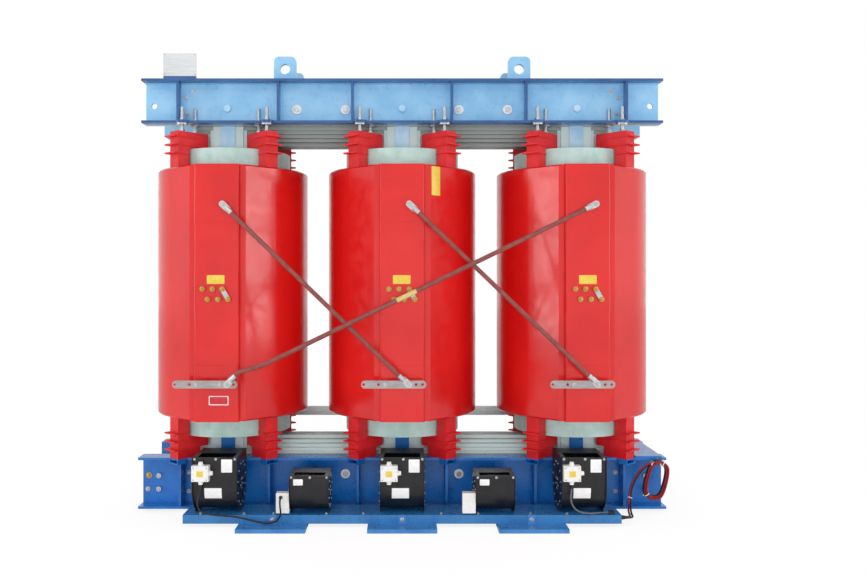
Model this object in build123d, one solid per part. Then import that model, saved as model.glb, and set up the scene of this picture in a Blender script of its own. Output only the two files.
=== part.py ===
from build123d import *
import os
from math import atan2, cos, degrees, radians, sin, sqrt, tan

# Three-phase cast-resin dry type transformer. Millimetres, +Z up.
# The origin is on the floor at the centre of the base: +X runs along the row of
# coils, -Y is the high-voltage side, +Y the low-voltage side.

# ---------------------------------------------------------------- driving sizes
COIL_PITCH = 870
COIL_X = (-COIL_PITCH, 0, COIL_PITCH)

CORE_RADIUS = 165
SHEET_HALF_WIDTHS = (157.5, 141, 124.5, 108, 91.5, 75)
YOKE_LOW_Z = 185.5
YOKE_HIGH_Z = 1977.5

PLATE = 12
TIE_PLATE = 8
TIE_PLATE_WIDTH = 68
TIE_PLATE_REACH = 110

UPPER_CLAMP_BOTTOM = 1904
UPPER_CLAMP_TOP = 2121
UPPER_CLAMP_HALF = 1275
UPPER_RIBS = (244, 608, 1099)
LOWER_CLAMP_TOP = 268
LOWER_CLAMP_HALF = 1290
LOWER_RIBS = (217.5, 652.5, 1087.5)
FLANGE_REACH = 83

LUG_X = 582
LUG_WIDTH = 110
LUG_HEIGHT = 125
LUG_THICKNESS = 24
LUG_HOLE_RADIUS = 25
LUG_HOLE_RISE = 63
LUG_CORNER = 26

FOOT_X = (-593, 0, 593)
FOOT_WIDTH = 315
FOOT_LENGTH = 1180
FOOT_THICKNESS = 18
FOOT_HOLE_SIDE_INSET = 37.5
FOOT_HOLE_END_INSET = 30
FOOT_HOLE_RADIUS = 9
TAB_WIDTH = 36
TAB_HEIGHT = 42
TAB_THICKNESS = 6
TAB_HOLE_RADIUS = 5

RAIL_HALF = 1007
RAIL_HEIGHT = 40
RAIL_DEPTH = 180
RAIL_WALL = 5
RAIL_FRONT = 500

LV_INNER = 205
LV_OUTER = 287
LV_BOTTOM = 374
LV_TOP = 1778
LV_PAD_WIDTH = 120
LV_PAD_DEPTH = 40
LV_PAD_HEIGHT = 70
LV_BAR_WIDTH = 100
LV_BAR_THICKNESS = 10
LV_BAR_TOP = 2215
NEUTRAL_STANDOFF = 42
NEUTRAL_BAR_HEIGHT = 50
INSULATOR_RADIUS = 22
INSULATOR_DROP = 48
SHED_RADIUS = 30
SHED_THICKNESS = 8

HV_INNER = 310
HV_OUTER = 378
HV_BOTTOM = 470
HV_TOP = 1682
HV_EDGE = 7
SHOULDER_ANGLE = 43
FRONT_FLAT_Y = 393
PAD_HALF_WIDTH = 105
PAD_Y = 418
PAD_CORNER = 9
ZONE_RISE = 7
ZONES = ((540, 736), (976, 1174), (1408, 1599))

TERMINAL_X = 33
TERMINAL_Z = 1490
TERMINAL_LENGTH = 18
TERMINAL_RADIUS = 24
STANDOFF_X = (-80, 30)
STANDOFF_LENGTH = 58
STANDOFF_RADIUS = 20
HV_BAR_X = -39
HV_BAR_Z = 655
HV_BAR_LENGTH = 300
HV_BAR_HEIGHT = 36
HV_BAR_THICKNESS = 6
HV_BAR_HOLES = (-138, -70, 133)
HV_BAR_HOLE_RADIUS = 6.5
TAP_HIGH_Z = 1094
TAP_LOW_Z = 1046
TAP_HIGH_X = (-62, -15, 32)
TAP_LOW_X = (-38, 11, 59)
TAP_LENGTH = 12
TAP_RADIUS = 14
STUD_RADIUS = 6
STUD_REACH = 14
LINK_WIDTH = 22
LINK_THICKNESS = 5

BLOCK_ANGLE = 41
BLOCK_WIDTH = 67
BLOCK_INNER = 186
NECK_REACH = 232
NECK_CLEARANCE = 4
BLOCK_OUTER = 362
COLUMN_CLEARANCE = 9
FIN_REACH = 26
FIN_SIDE = 9
FIN_THICKNESS = 7
FIN_INNER = 215
UPPER_BLOCK_TOP = 1860
UPPER_FINS = (1752, 1793, 1834)
LOWER_FINS = (313, 353, 393)

PRESSURE_RADII = (240, 316)
PRESSURE_STUD = 8
PRESSURE_STUD_TOP = 1984
PRESSURE_DISCS = (22, 29)
PRESSURE_DISC_THICKNESS = 9
BOLT_CLEARANCE = 1
LOBE_RADIUS = 36
NUT_RADIUS = 14
NUT_HEIGHT = 13

YOKE_BOLT_X = (-524, -282, 282, 524)
YOKE_BOLT = 10
YOKE_BOLT_LOW = -13
YOKE_BOLT_HIGH = 6
WASHER_RADIUS = 23
WASHER_THICKNESS = 6
TIE_BOLT = 12
TIE_BOLT_LOW = -65
TIE_BOLT_HIGH = 12
TIE_BOLT_HEAD = 19
END_STUD_INSET = 80
END_STUD_Z = (98, 164)
END_STUD = 8
END_HOLE_INSET = 40
END_HOLE_Z = 2002
END_HOLE_RADIUS = 14

SEAT_WIDTH = 70
SEAT_HEIGHT = 26
SEAT_WALL = 5
SEAT_INNER = 318
SEAT_OUTER = 366

CROSS_PLATE_INSET = 22
CROSS_PLATE_WIDTH = 128
CROSS_PLATE_THICKNESS = 8

ROD_RADIUS = 10.5
BARREL_RADIUS = 12.5
BARREL_OFFSET = 15
BARREL_START = 28
BARREL_END = 62
PALM_WIDTH = 30
PALM_LENGTH = 34
PALM_THICKNESS = 6
LINE_BOLT_X = 64
CROSSING_KNEES = [(600, -496, 1344), (-640, -536, 745), (-748, -512, 714)]

FAN_WALL = 3
FAN_RIM = 10
BIG_FAN = {"radius": 112, "width": 206, "rise": 141}
SMALL_FAN = {"radius": 85, "width": 182, "rise": 84}
BIG_FAN_X = (-860, 0, 834)
SMALL_FAN_X = (-428, 428)
FAN_SLOTS = 10
BLADES = 14
BLADE_THICKNESS = 3
SHAFT_RADIUS = 8
SHAFT_CLEARANCE = 0.05
IMPELLER_GAP = 12
BOX_SIZE = (78, 35, 71)
BOX_X = -60
BOX_RISE = 74
SIDE_BOX_SIZE = (60, 40, 92)
SIDE_BOX_DROP = 41
GLAND_RADIUS = 10
GLAND_LENGTH = 16
SIDE_GLAND_X = -37
SIDE_GLAND_RISE = 29
SIDE_GLAND_LENGTH = 8

NAMEPLATE = (161, 111)
NAMEPLATE_INSET = 189
NAMEPLATE_RISE = 11
SHEET_METAL = 3
BRACKET_FOOT = 30

ENTRY_SIZE = (25, 20, 16)
ENTRY_X = 950
ENTRY_Y = 485
LEAD_RADIUS = 4
SUPPLY_RADIUS = 4.5
SUPPLY_GLAND_LENGTH = 8
HANK_RADIUS = 10
HANK_HALF_WIDTH = 46
HANK_HALF_HEIGHT = 88
HANK_TILT = 14
HOOK_WIDTH = 8
HOOK_THICKNESS = 3
HOOK_GAP = 1

# ---------------------------------------------------------------- worked-out sizes
HALF_THICKNESSES = [sqrt(CORE_RADIUS**2 - w**2) for w in SHEET_HALF_WIDTHS]
CORE_FACE = HALF_THICKNESSES[-1]
WEB_INNER = CORE_FACE + TIE_PLATE
WEB_OUTER = WEB_INNER + PLATE
FLANGE_FRONT = WEB_OUTER + FLANGE_REACH
YOKE_HALF = COIL_PITCH + SHEET_HALF_WIDTHS[0]
END_STUD_X = LOWER_CLAMP_HALF - END_STUD_INSET
NAMEPLATE_X = NAMEPLATE_INSET - UPPER_CLAMP_HALF
RAIL_TOP = FOOT_THICKNESS + RAIL_HEIGHT
RAIL_BACK = RAIL_FRONT - RAIL_DEPTH
COLUMN_INNER = LV_OUTER + COLUMN_CLEARANCE
ZONE_Y = PAD_Y + ZONE_RISE
TERMINAL_Y = ZONE_Y + TERMINAL_LENGTH
TAP_Y = ZONE_Y + TAP_LENGTH
HV_BAR_BACK = ZONE_Y + STANDOFF_LENGTH
HV_BAR_FRONT = HV_BAR_BACK + HV_BAR_THICKNESS
FLANGE_TOP = UPPER_CLAMP_BOTTOM + PLATE
BLOCK_ANGLES = (-BLOCK_ANGLE, BLOCK_ANGLE, 180 - BLOCK_ANGLE, 180 + BLOCK_ANGLE)


# ---------------------------------------------------------------- shared helpers
def block(x0, x1, y0, y1, z0, z1):
    """A plain block between two corners."""
    centre = Pos((x0 + x1) / 2, (y0 + y1) / 2, (z0 + z1) / 2)
    return centre * Box(abs(x1 - x0), abs(y1 - y0), abs(z1 - z0))


def bar(section, start, end):
    """A flat section pushed along the straight line from start to end."""
    first, last = Vector(*start), Vector(*end)
    return extrude(Plane(origin=first, z_dir=last - first) * section, (last - first).length)


def round_bar(radius, start, end):
    return bar(Circle(radius), start, end)


def hexagon_bar(radius, start, end):
    return bar(RegularPolygon(radius, 6), start, end)


def rear(shape):
    """The same shape on the low-voltage side."""
    return mirror(shape, about=Plane.XZ)


def spoke(distance, angle, z=0):
    """A point at a distance from a coil's axis, its angle counted from -Y."""
    return (distance * sin(radians(angle)), -distance * cos(radians(angle)), z)


def turned(shape, angle):
    """A shape drawn along -Y, turned round the coil's axis."""
    return Rot(0, 0, angle) * shape


def at_coils(shape):
    return [Pos(x, 0, 0) * shape for x in COIL_X]


def solids_of(shapes):
    return Compound(children=[solid for shape in shapes for solid in shape.solids()])


# ---------------------------------------------------------------- core
def core_yoke(centre_z):
    """Stepped stack of sheets: each narrower packet lies outside the wider one."""
    yoke = None
    for half_width, half_thickness in zip(SHEET_HALF_WIDTHS, HALF_THICKNESSES):
        packet = Box(2 * YOKE_HALF, 2 * half_thickness, 2 * half_width)
        yoke = packet if yoke is None else yoke + packet
    return Pos(0, 0, centre_z) * yoke


def core_limb():
    """Each packet of the limb butts against the packet of the same width in the yokes."""
    limb = None
    inner = 0
    for half_width, half_thickness in zip(SHEET_HALF_WIDTHS, HALF_THICKNESSES):
        low, high = YOKE_LOW_Z + half_width, YOKE_HIGH_Z - half_width
        for side in (-1, 1):
            packet = block(-half_width, half_width, side * inner, side * half_thickness, low, high)
            limb = packet if limb is None else limb + packet
        inner = half_thickness
    return limb


def yoke_bolt_places():
    low, high = YOKE_LOW_Z + YOKE_BOLT_LOW, YOKE_HIGH_Z + YOKE_BOLT_HIGH
    return [(x, z) for z in (low, high) for x in YOKE_BOLT_X]


def yoke_bolt_holes():
    reach = FLANGE_FRONT
    radius = YOKE_BOLT + BOLT_CLEARANCE
    return [round_bar(radius, (x, -reach, z), (x, reach, z)) for x, z in yoke_bolt_places()]


def tie_bolt_heights():
    return (YOKE_LOW_Z + TIE_BOLT_LOW, YOKE_HIGH_Z + TIE_BOLT_HIGH)


def tie_bolt_holes():
    holes = []
    for x in COIL_X:
        for z in tie_bolt_heights():
            holes.append(round_bar(TIE_BOLT + BOLT_CLEARANCE, (x, -CORE_FACE, z), (x, -FLANGE_FRONT, z)))
    return holes


def tie_plates():
    half = TIE_PLATE_WIDTH / 2
    low, high = YOKE_LOW_Z - TIE_PLATE_REACH, YOKE_HIGH_Z + TIE_PLATE_REACH
    plates = [block(x - half, x + half, -CORE_FACE, -WEB_INNER, low, high) for x in COIL_X]
    return solids_of([plate - tie_bolt_holes() for plate in plates])


def yoke_insulation():
    """Pressboard strips that fill the gap between yoke and clamp, beside the tie plates."""
    half = TIE_PLATE_WIDTH / 2
    edges = [-YOKE_HALF]
    for x in COIL_X:
        edges += [x - half, x + half]
    edges.append(YOKE_HALF)
    strips = []
    for low, high in ((FOOT_THICKNESS + PLATE, LOWER_CLAMP_TOP), (UPPER_CLAMP_BOTTOM, UPPER_CLAMP_TOP)):
        for left, right in zip(edges[::2], edges[1::2]):
            strip = block(left, right, -CORE_FACE, -WEB_INNER, low, high) - yoke_bolt_holes()
            strips += [strip, rear(strip)]
    return solids_of(strips)


# ---------------------------------------------------------------- clamps
def clamp_channel(half_length, low, high, rib_places):
    """Web plate, two flanges and the stiffening ribs, welded to one piece."""
    web = block(-half_length, half_length, -WEB_INNER, -WEB_OUTER, low, high)
    channel = web
    for bottom, top in ((low, low + PLATE), (high - PLATE, high)):
        channel += block(-half_length, half_length, -WEB_OUTER, -FLANGE_FRONT, bottom, top)
    for place in rib_places:
        for x in (-place, place):
            rib = block(x - PLATE / 2, x + PLATE / 2, -WEB_OUTER, -FLANGE_FRONT + PLATE / 2,
                        low + PLATE, high - PLATE)
            channel += rib
    return channel


def lifting_lug(x):
    """Upright plate with a round eye, welded on the top flange in line with the web."""
    outline = RectangleRounded(LUG_WIDTH, LUG_HEIGHT, LUG_CORNER)
    foot = Pos(0, -LUG_HEIGHT / 4) * Rectangle(LUG_WIDTH, LUG_HEIGHT / 2)
    eye = Pos(0, LUG_HOLE_RISE - LUG_HEIGHT / 2) * Circle(LUG_HOLE_RADIUS)
    plate = extrude(Plane.XZ * (outline + foot - eye), LUG_THICKNESS)
    return Pos(x, -WEB_INNER, UPPER_CLAMP_TOP + LUG_HEIGHT / 2) * plate


def pressure_bolt_places():
    """Centre of each front pressure bolt, with the radius of its disc."""
    places = []
    for x in COIL_X:
        for angle in BLOCK_ANGLES[:2]:
            for distance, disc in zip(PRESSURE_RADII, PRESSURE_DISCS):
                dx, y, _ = spoke(distance, angle)
                places.append((x + dx, y, disc))
    return places


def upper_clamp():
    clamp = clamp_channel(UPPER_CLAMP_HALF, UPPER_CLAMP_BOTTOM, UPPER_CLAMP_TOP, UPPER_RIBS)
    bolt_y = {disc: y for _, y, disc in pressure_bolt_places()}
    for x, y, disc in pressure_bolt_places():
        if y == bolt_y[PRESSURE_DISCS[-1]]:
            clamp += round_bar(LOBE_RADIUS, (x, y, UPPER_CLAMP_BOTTOM), (x, y, FLANGE_TOP))
    for x, y, _ in pressure_bolt_places():
        clamp -= round_bar(PRESSURE_STUD + BOLT_CLEARANCE, (x, y, UPPER_CLAMP_BOTTOM), (x, y, FLANGE_TOP))
    for side in (-1, 1):
        clamp += lifting_lug(side * LUG_X)
        hole_x = side * (UPPER_CLAMP_HALF - END_HOLE_INSET)
        clamp -= round_bar(END_HOLE_RADIUS, (hole_x, -WEB_INNER, END_HOLE_Z), (hole_x, -WEB_OUTER, END_HOLE_Z))
    return clamp - yoke_bolt_holes() - tie_bolt_holes()


def block_seat(angle):
    """Short open box under a support block's outer end, welded to the flange."""
    outer = Rectangle(SEAT_WIDTH, SEAT_HEIGHT)
    slot = Rectangle(SEAT_WIDTH - 2 * SEAT_WALL, SEAT_HEIGHT - 2 * SEAT_WALL)
    z = LOWER_CLAMP_TOP - SEAT_HEIGHT / 2
    section = Plane(origin=(0, -SEAT_INNER, z), x_dir=(1, 0, 0), z_dir=(0, -1, 0)) * (outer - slot)
    return turned(extrude(section, SEAT_OUTER - SEAT_INNER), angle)


def lower_clamp():
    clamp = clamp_channel(LOWER_CLAMP_HALF, FOOT_THICKNESS, LOWER_CLAMP_TOP, LOWER_RIBS)
    for x in COIL_X:
        for angle in BLOCK_ANGLES[:2]:
            clamp += Pos(x, 0, 0) * block_seat(angle)
    for side in (-1, 1):
        for z in END_STUD_Z:
            x = side * END_STUD_X
            clamp -= round_bar(END_STUD + BOLT_CLEARANCE, (x, -WEB_INNER, z), (x, -WEB_OUTER, z))
    return clamp - yoke_bolt_holes() - tie_bolt_holes()


def cross_plate():
    right = LOWER_CLAMP_HALF - CROSS_PLATE_INSET
    left = right - CROSS_PLATE_WIDTH
    top = LOWER_CLAMP_TOP + CROSS_PLATE_THICKNESS
    return block(left, right, -FLANGE_FRONT, FLANGE_FRONT, LOWER_CLAMP_TOP, top)


def base_foot():
    """Sole plate under the clamps and both fan rails, with four anchor holes."""
    half_width, half_length = FOOT_WIDTH / 2, FOOT_LENGTH / 2
    foot = block(-half_width, half_width, -half_length, half_length, 0, FOOT_THICKNESS)
    hole_x, hole_y = half_width - FOOT_HOLE_SIDE_INSET, half_length - FOOT_HOLE_END_INSET
    for x in (-hole_x, hole_x):
        for y in (-hole_y, hole_y):
            foot -= round_bar(FOOT_HOLE_RADIUS, (x, y, 0), (x, y, FOOT_THICKNESS))
    tab = block(-TAB_WIDTH / 2, TAB_WIDTH / 2, -RAIL_FRONT, -RAIL_FRONT - TAB_THICKNESS,
                FOOT_THICKNESS, FOOT_THICKNESS + TAB_HEIGHT)
    hole_z = FOOT_THICKNESS + TAB_HEIGHT / 2
    tab -= round_bar(TAB_HOLE_RADIUS, (0, -RAIL_FRONT, hole_z), (0, -RAIL_FRONT - TAB_THICKNESS, hole_z))
    return foot + tab + rear(tab)


def fan_rail():
    """Channel laid open side down across the three feet."""
    outer = block(-RAIL_HALF, RAIL_HALF, -RAIL_FRONT, -RAIL_BACK, FOOT_THICKNESS, RAIL_TOP)
    hollow = block(-RAIL_HALF, RAIL_HALF, -RAIL_FRONT + RAIL_WALL, -RAIL_BACK - RAIL_WALL,
                   FOOT_THICKNESS, RAIL_TOP - RAIL_WALL)
    return outer - hollow


# ---------------------------------------------------------------- windings
def hv_outline():
    """Round tube wall with a flat front and shoulders that run into the circle."""
    tangent_x, tangent_y, _ = spoke(HV_OUTER, SHOULDER_ANGLE)
    run = (FRONT_FLAT_Y + tangent_y) / sin(radians(SHOULDER_ANGLE))
    flat_x = tangent_x - run * cos(radians(SHOULDER_ANGLE))
    shoulders = Polygon((-tangent_x, tangent_y), (-flat_x, -FRONT_FLAT_Y),
                        (flat_x, -FRONT_FLAT_Y), (tangent_x, tangent_y), align=None)
    return Circle(HV_OUTER) + shoulders


def pad_outline(front):
    depth = front - HV_INNER - PAD_CORNER
    pad = RectangleRounded(2 * PAD_HALF_WIDTH, depth, PAD_CORNER)
    return Pos(0, -front + depth / 2) * pad


def hv_winding():
    """Cast-resin winding: tube, front pad, three raised zones and the moulded bosses."""
    body = extrude(Pos(0, 0, HV_BOTTOM) * hv_outline(), HV_TOP - HV_BOTTOM)
    rims = body.edges().filter_by(GeomType.CIRCLE)
    body = chamfer(rims, HV_EDGE)
    body += extrude(Pos(0, 0, HV_BOTTOM) * pad_outline(PAD_Y), HV_TOP - HV_BOTTOM)
    for low, high in ZONES:
        body += extrude(Pos(0, 0, low) * pad_outline(ZONE_Y), high - low)
    body -= round_bar(HV_INNER, (0, 0, HV_BOTTOM), (0, 0, HV_TOP))
    body += round_bar(TERMINAL_RADIUS, (TERMINAL_X, -PAD_Y, TERMINAL_Z), (TERMINAL_X, -TERMINAL_Y, TERMINAL_Z))
    for x in STANDOFF_X:
        body += round_bar(STANDOFF_RADIUS, (x, -PAD_Y, HV_BAR_Z), (x, -HV_BAR_BACK, HV_BAR_Z))
    for x, z in tap_places():
        body += round_bar(TAP_RADIUS, (x, -PAD_Y, z), (x, -TAP_Y, z))
    return body


def tap_places():
    return [(x, TAP_HIGH_Z) for x in TAP_HIGH_X] + [(x, TAP_LOW_Z) for x in TAP_LOW_X]


def lv_winding():
    """Foil winding with resin ends and two rear pads for its bars."""
    tube = Circle(LV_OUTER) - Circle(LV_INNER)
    body = extrude(Pos(0, 0, LV_BOTTOM) * tube, LV_TOP - LV_BOTTOM)
    half = LV_PAD_WIDTH / 2
    root = LV_OUTER - LV_PAD_DEPTH
    body += block(-half, half, root, LV_OUTER + HV_EDGE, LV_TOP - LV_PAD_HEIGHT, LV_TOP)
    body += block(-half, half, root, LV_OUTER + NEUTRAL_STANDOFF, LV_BOTTOM, LV_BOTTOM + LV_PAD_HEIGHT)
    return body


def lv_phase_bar():
    """Upright bar from the winding's upper pad to a palm above the clamp."""
    back = LV_OUTER + HV_EDGE
    low = LV_TOP - LV_PAD_HEIGHT
    phase_bar = block(-LV_BAR_WIDTH / 2, LV_BAR_WIDTH / 2, back, back + LV_BAR_THICKNESS, low, LV_BAR_TOP)
    for x in (-LV_BAR_WIDTH / 4, LV_BAR_WIDTH / 4):
        for drop in (LV_BAR_WIDTH / 4, 3 * LV_BAR_WIDTH / 4):
            z = LV_BAR_TOP - drop
            phase_bar -= round_bar(HV_BAR_HOLE_RADIUS, (x, back, z), (x, back + LV_BAR_THICKNESS, z))
    return phase_bar


def lv_neutral_bar():
    """Level bar that joins the lower ends of the three windings."""
    back = LV_OUTER + NEUTRAL_STANDOFF
    reach = COIL_PITCH + LV_PAD_WIDTH
    z = LV_BOTTOM + LV_PAD_HEIGHT / 2
    half = NEUTRAL_BAR_HEIGHT / 2
    return block(-reach, reach, back, back + LV_BAR_THICKNESS, z - half, z + half)


def bar_insulator():
    """Ribbed post between the rear clamp's web and a phase bar."""
    z = UPPER_CLAMP_TOP - INSULATOR_DROP
    back = LV_OUTER + HV_EDGE
    post = round_bar(INSULATOR_RADIUS, (0, WEB_OUTER, z), (0, back, z))
    for step in (1, 2, 3):
        y = WEB_OUTER + step * (back - WEB_OUTER) / 4
        post += round_bar(SHED_RADIUS, (0, y - SHED_THICKNESS / 2, z), (0, y + SHED_THICKNESS / 2, z))
    return post


# ---------------------------------------------------------------- support blocks
def fin(z):
    """Thin shed round a block's outer end, wider there than at its root."""
    root, tip = BLOCK_WIDTH / 2, BLOCK_WIDTH / 2 + FIN_SIDE
    outline = Polygon((-root, -FIN_INNER), (-tip, -BLOCK_OUTER - FIN_REACH),
                      (tip, -BLOCK_OUTER - FIN_REACH), (root, -FIN_INNER), align=None)
    return extrude(Pos(0, 0, z - FIN_THICKNESS / 2) * outline, FIN_THICKNESS)


def support_block(arm, column, fins):
    """Moulded L block: the arm reaches in to the LV winding, the column bears on the HV one."""
    half = BLOCK_WIDTH / 2
    body = block(-half, half, -BLOCK_INNER, -BLOCK_OUTER, *arm)
    body += block(-half, half, -COLUMN_INNER, -BLOCK_OUTER, *column)
    for z in fins:
        body += fin(z)
    return body


def upper_block():
    clear = block(-BLOCK_WIDTH, BLOCK_WIDTH, 0, -COLUMN_INNER, HV_TOP, LV_TOP)
    return support_block((LV_TOP, UPPER_BLOCK_TOP), (HV_TOP, UPPER_BLOCK_TOP), UPPER_FINS) - clear


def lower_block():
    """The neck of the arm is cut away underneath, where it passes over the yoke."""
    clear = block(-BLOCK_WIDTH, BLOCK_WIDTH, 0, -COLUMN_INNER, LV_BOTTOM, HV_BOTTOM)
    neck_z = YOKE_LOW_Z + SHEET_HALF_WIDTHS[2] + NECK_CLEARANCE
    neck = block(-BLOCK_WIDTH, BLOCK_WIDTH, 0, -NECK_REACH, LOWER_CLAMP_TOP, neck_z)
    body = support_block((LOWER_CLAMP_TOP, LV_BOTTOM), (LOWER_CLAMP_TOP, HV_BOTTOM), LOWER_FINS)
    return body - clear - neck


def block_set(shape):
    return solids_of([Pos(x, 0, 0) * turned(shape, angle) for x in COIL_X for angle in BLOCK_ANGLES])


# ---------------------------------------------------------------- fasteners
def pressure_bolts():
    """Jacking bolts that press the windings down, with a disc under the flange and a nut on it."""
    bolts = []
    for x, y, disc in pressure_bolt_places():
        disc_low = UPPER_CLAMP_BOTTOM - PRESSURE_DISC_THICKNESS
        bolt = round_bar(PRESSURE_STUD, (x, y, UPPER_BLOCK_TOP), (x, y, PRESSURE_STUD_TOP))
        bolt += round_bar(disc, (x, y, disc_low), (x, y, UPPER_CLAMP_BOTTOM))
        bolt += hexagon_bar(NUT_RADIUS, (x, y, FLANGE_TOP), (x, y, FLANGE_TOP + NUT_HEIGHT))
        bolt += hexagon_bar(NUT_RADIUS, (x, y, UPPER_BLOCK_TOP), (x, y, UPPER_BLOCK_TOP + NUT_HEIGHT))
        bolts += [bolt, rear(bolt)]
    return solids_of(bolts)


def yoke_bolts():
    """Through bolts with an insulating washer and a nut on each clamp."""
    bolts = []
    seat = WEB_OUTER + WASHER_THICKNESS
    for x, z in yoke_bolt_places():
        bolt = round_bar(YOKE_BOLT, (x, -seat, z), (x, seat, z))
        for side in (-1, 1):
            bolt += round_bar(WASHER_RADIUS, (x, side * WEB_OUTER, z), (x, side * seat, z))
            bolt += hexagon_bar(NUT_RADIUS, (x, side * seat, z), (x, side * (seat + NUT_HEIGHT), z))
        bolts.append(bolt)
    return solids_of(bolts)


def tie_bolts():
    """Short bolts that hang the clamps on the tie plates."""
    bolts = []
    for x in COIL_X:
        for z in tie_bolt_heights():
            bolt = round_bar(TIE_BOLT, (x, -CORE_FACE, z), (x, -WEB_OUTER, z))
            head = hexagon_bar(TIE_BOLT_HEAD, (x, -WEB_OUTER, z), (x, -WEB_OUTER - NUT_HEIGHT, z))
            bolts += [bolt + head, rear(bolt + head)]
    return solids_of(bolts)


def end_studs():
    """Threaded rods that tie the front and rear lower clamps together past the core."""
    studs = []
    for side in (-1, 1):
        for z in END_STUD_Z:
            x = side * END_STUD_X
            stud = round_bar(END_STUD, (x, -WEB_OUTER - NUT_HEIGHT, z), (x, WEB_OUTER + NUT_HEIGHT, z))
            for face in (-1, 1):
                stud += hexagon_bar(NUT_RADIUS, (x, face * WEB_OUTER, z), (x, face * (WEB_OUTER + NUT_HEIGHT), z))
            studs.append(stud)
    return solids_of(studs)


# ---------------------------------------------------------------- high-voltage leads
def hv_line_bar():
    """Flat bar with rounded ends on the two lower stand-offs."""
    outline = SlotOverall(HV_BAR_LENGTH, HV_BAR_HEIGHT)
    for x in HV_BAR_HOLES:
        outline -= Pos(x, 0) * Circle(HV_BAR_HOLE_RADIUS)
    for x in (*STANDOFF_X, LINE_BOLT_X):
        outline -= Pos(x - HV_BAR_X, 0) * Circle(STUD_RADIUS + BOLT_CLEARANCE / 2)
    plate = extrude(Plane.XZ * outline, HV_BAR_THICKNESS)
    return Pos(HV_BAR_X, -HV_BAR_BACK, HV_BAR_Z) * plate


def front_bolt(x, z, seat):
    """Hexagon head on a stud that stands out of a resin boss."""
    return hexagon_bar(STUD_RADIUS * 1.7, (x, -seat, z), (x, -seat - STUD_RADIUS, z))


def bolt_places():
    """Every bolt of the leads: its place and the face that its shank stands on."""
    lugged = [route[-1][0] for route in delta_leads().values()]
    places = []
    for coil in COIL_X:
        places.append((coil + TERMINAL_X, TERMINAL_Z, TERMINAL_Y, TERMINAL_Y + PALM_THICKNESS))
        for x in (coil + STANDOFF_X[0], coil + STANDOFF_X[1]):
            seat = HV_BAR_FRONT + (PALM_THICKNESS if x in lugged else 0)
            places.append((x, HV_BAR_Z, HV_BAR_BACK, seat))
    places.append((lugged[-1], HV_BAR_Z, HV_BAR_BACK, HV_BAR_FRONT + PALM_THICKNESS))
    return places


def terminal_bolts():
    """Bolts of the upper terminals, of the bar stand-offs and of the line bar's lug."""
    bolts = []
    for x, z, root, seat in bolt_places():
        shank = round_bar(STUD_RADIUS, (x, -root, z), (x, -seat, z))
        bolts.append(shank + front_bolt(x, z, seat))
    return solids_of(bolts)


def tap_studs():
    """Six brass studs a coil, for choosing the turns in use."""
    studs = []
    for coil in COIL_X:
        for x, z in tap_places():
            stud = round_bar(STUD_RADIUS, (coil + x, -TAP_Y, z), (coil + x, -TAP_Y - STUD_REACH, z))
            studs.append(stud)
    return solids_of(studs)


def tap_link():
    """Flat link that joins the right-hand studs of the two rows."""
    high, low = Vector(TAP_HIGH_X[-1], TAP_HIGH_Z), Vector(TAP_LOW_X[-1], TAP_LOW_Z)
    length = (high - low).length + LINK_WIDTH
    tilt = degrees(atan2(low.Y - high.Y, low.X - high.X))
    outline = Rot(0, 0, tilt) * SlotOverall(length, LINK_WIDTH)
    middle = (high + low) / 2
    outline = Pos(middle.X, middle.Y) * outline
    for stud in (high, low):
        outline -= Pos(stud.X, stud.Y) * Circle(STUD_RADIUS + BOLT_CLEARANCE / 2)
    return Pos(0, -TAP_Y, 0) * extrude(Plane.XZ * outline, LINK_THICKNESS)


def bent_rod(route, radius):
    """A round rod along straight runs joined by tangent arcs as large as the runs allow."""
    points = [Vector(*point) for point in route]
    radii = []
    for before, here, after in zip(points, points[1:], points[2:]):
        turn = (here - before).get_angle(after - here)
        shorter = min((here - before).length, (after - here).length)
        radii.append(0.45 * shorter / tan(radians(turn) / 2))
    path = FilletPolyline(*points, radius=radii)
    section = Plane(origin=points[0], z_dir=points[1] - points[0]) * Circle(radius)
    return sweep(section, path=path), radii, path.length


def delta_leads():
    """Route of each insulated rod, from a terminal's bolt to a bolt on another coil's bar."""
    terminal_y = -TERMINAL_Y - BARREL_OFFSET
    bar_y = -HV_BAR_FRONT - BARREL_OFFSET
    left, centre, right = COIL_X
    link = STANDOFF_X[1]
    return {
        "left": [(left + TERMINAL_X, terminal_y, TERMINAL_Z), (centre + link, bar_y, HV_BAR_Z)],
        "centre": [(centre + TERMINAL_X, terminal_y, TERMINAL_Z), (right + link, bar_y, HV_BAR_Z)],
        "right": [(right + TERMINAL_X, terminal_y, TERMINAL_Z), *CROSSING_KNEES,
                  (left + LINE_BOLT_X, bar_y, HV_BAR_Z)],
    }


def trimmed(route):
    """The route without the stretch that the lug at each end takes up."""
    points = [Vector(*point) for point in route]
    first = points[0] + (points[1] - points[0]).normalized() * BARREL_END
    last = points[-1] + (points[-2] - points[-1]).normalized() * BARREL_END
    return [tuple(first), *route[1:-1], tuple(last)]


def delta_rod(route):
    points = trimmed(route)
    if len(points) == 2:
        return round_bar(ROD_RADIUS, *points)
    return bent_rod(points, ROD_RADIUS)[0]


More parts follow.
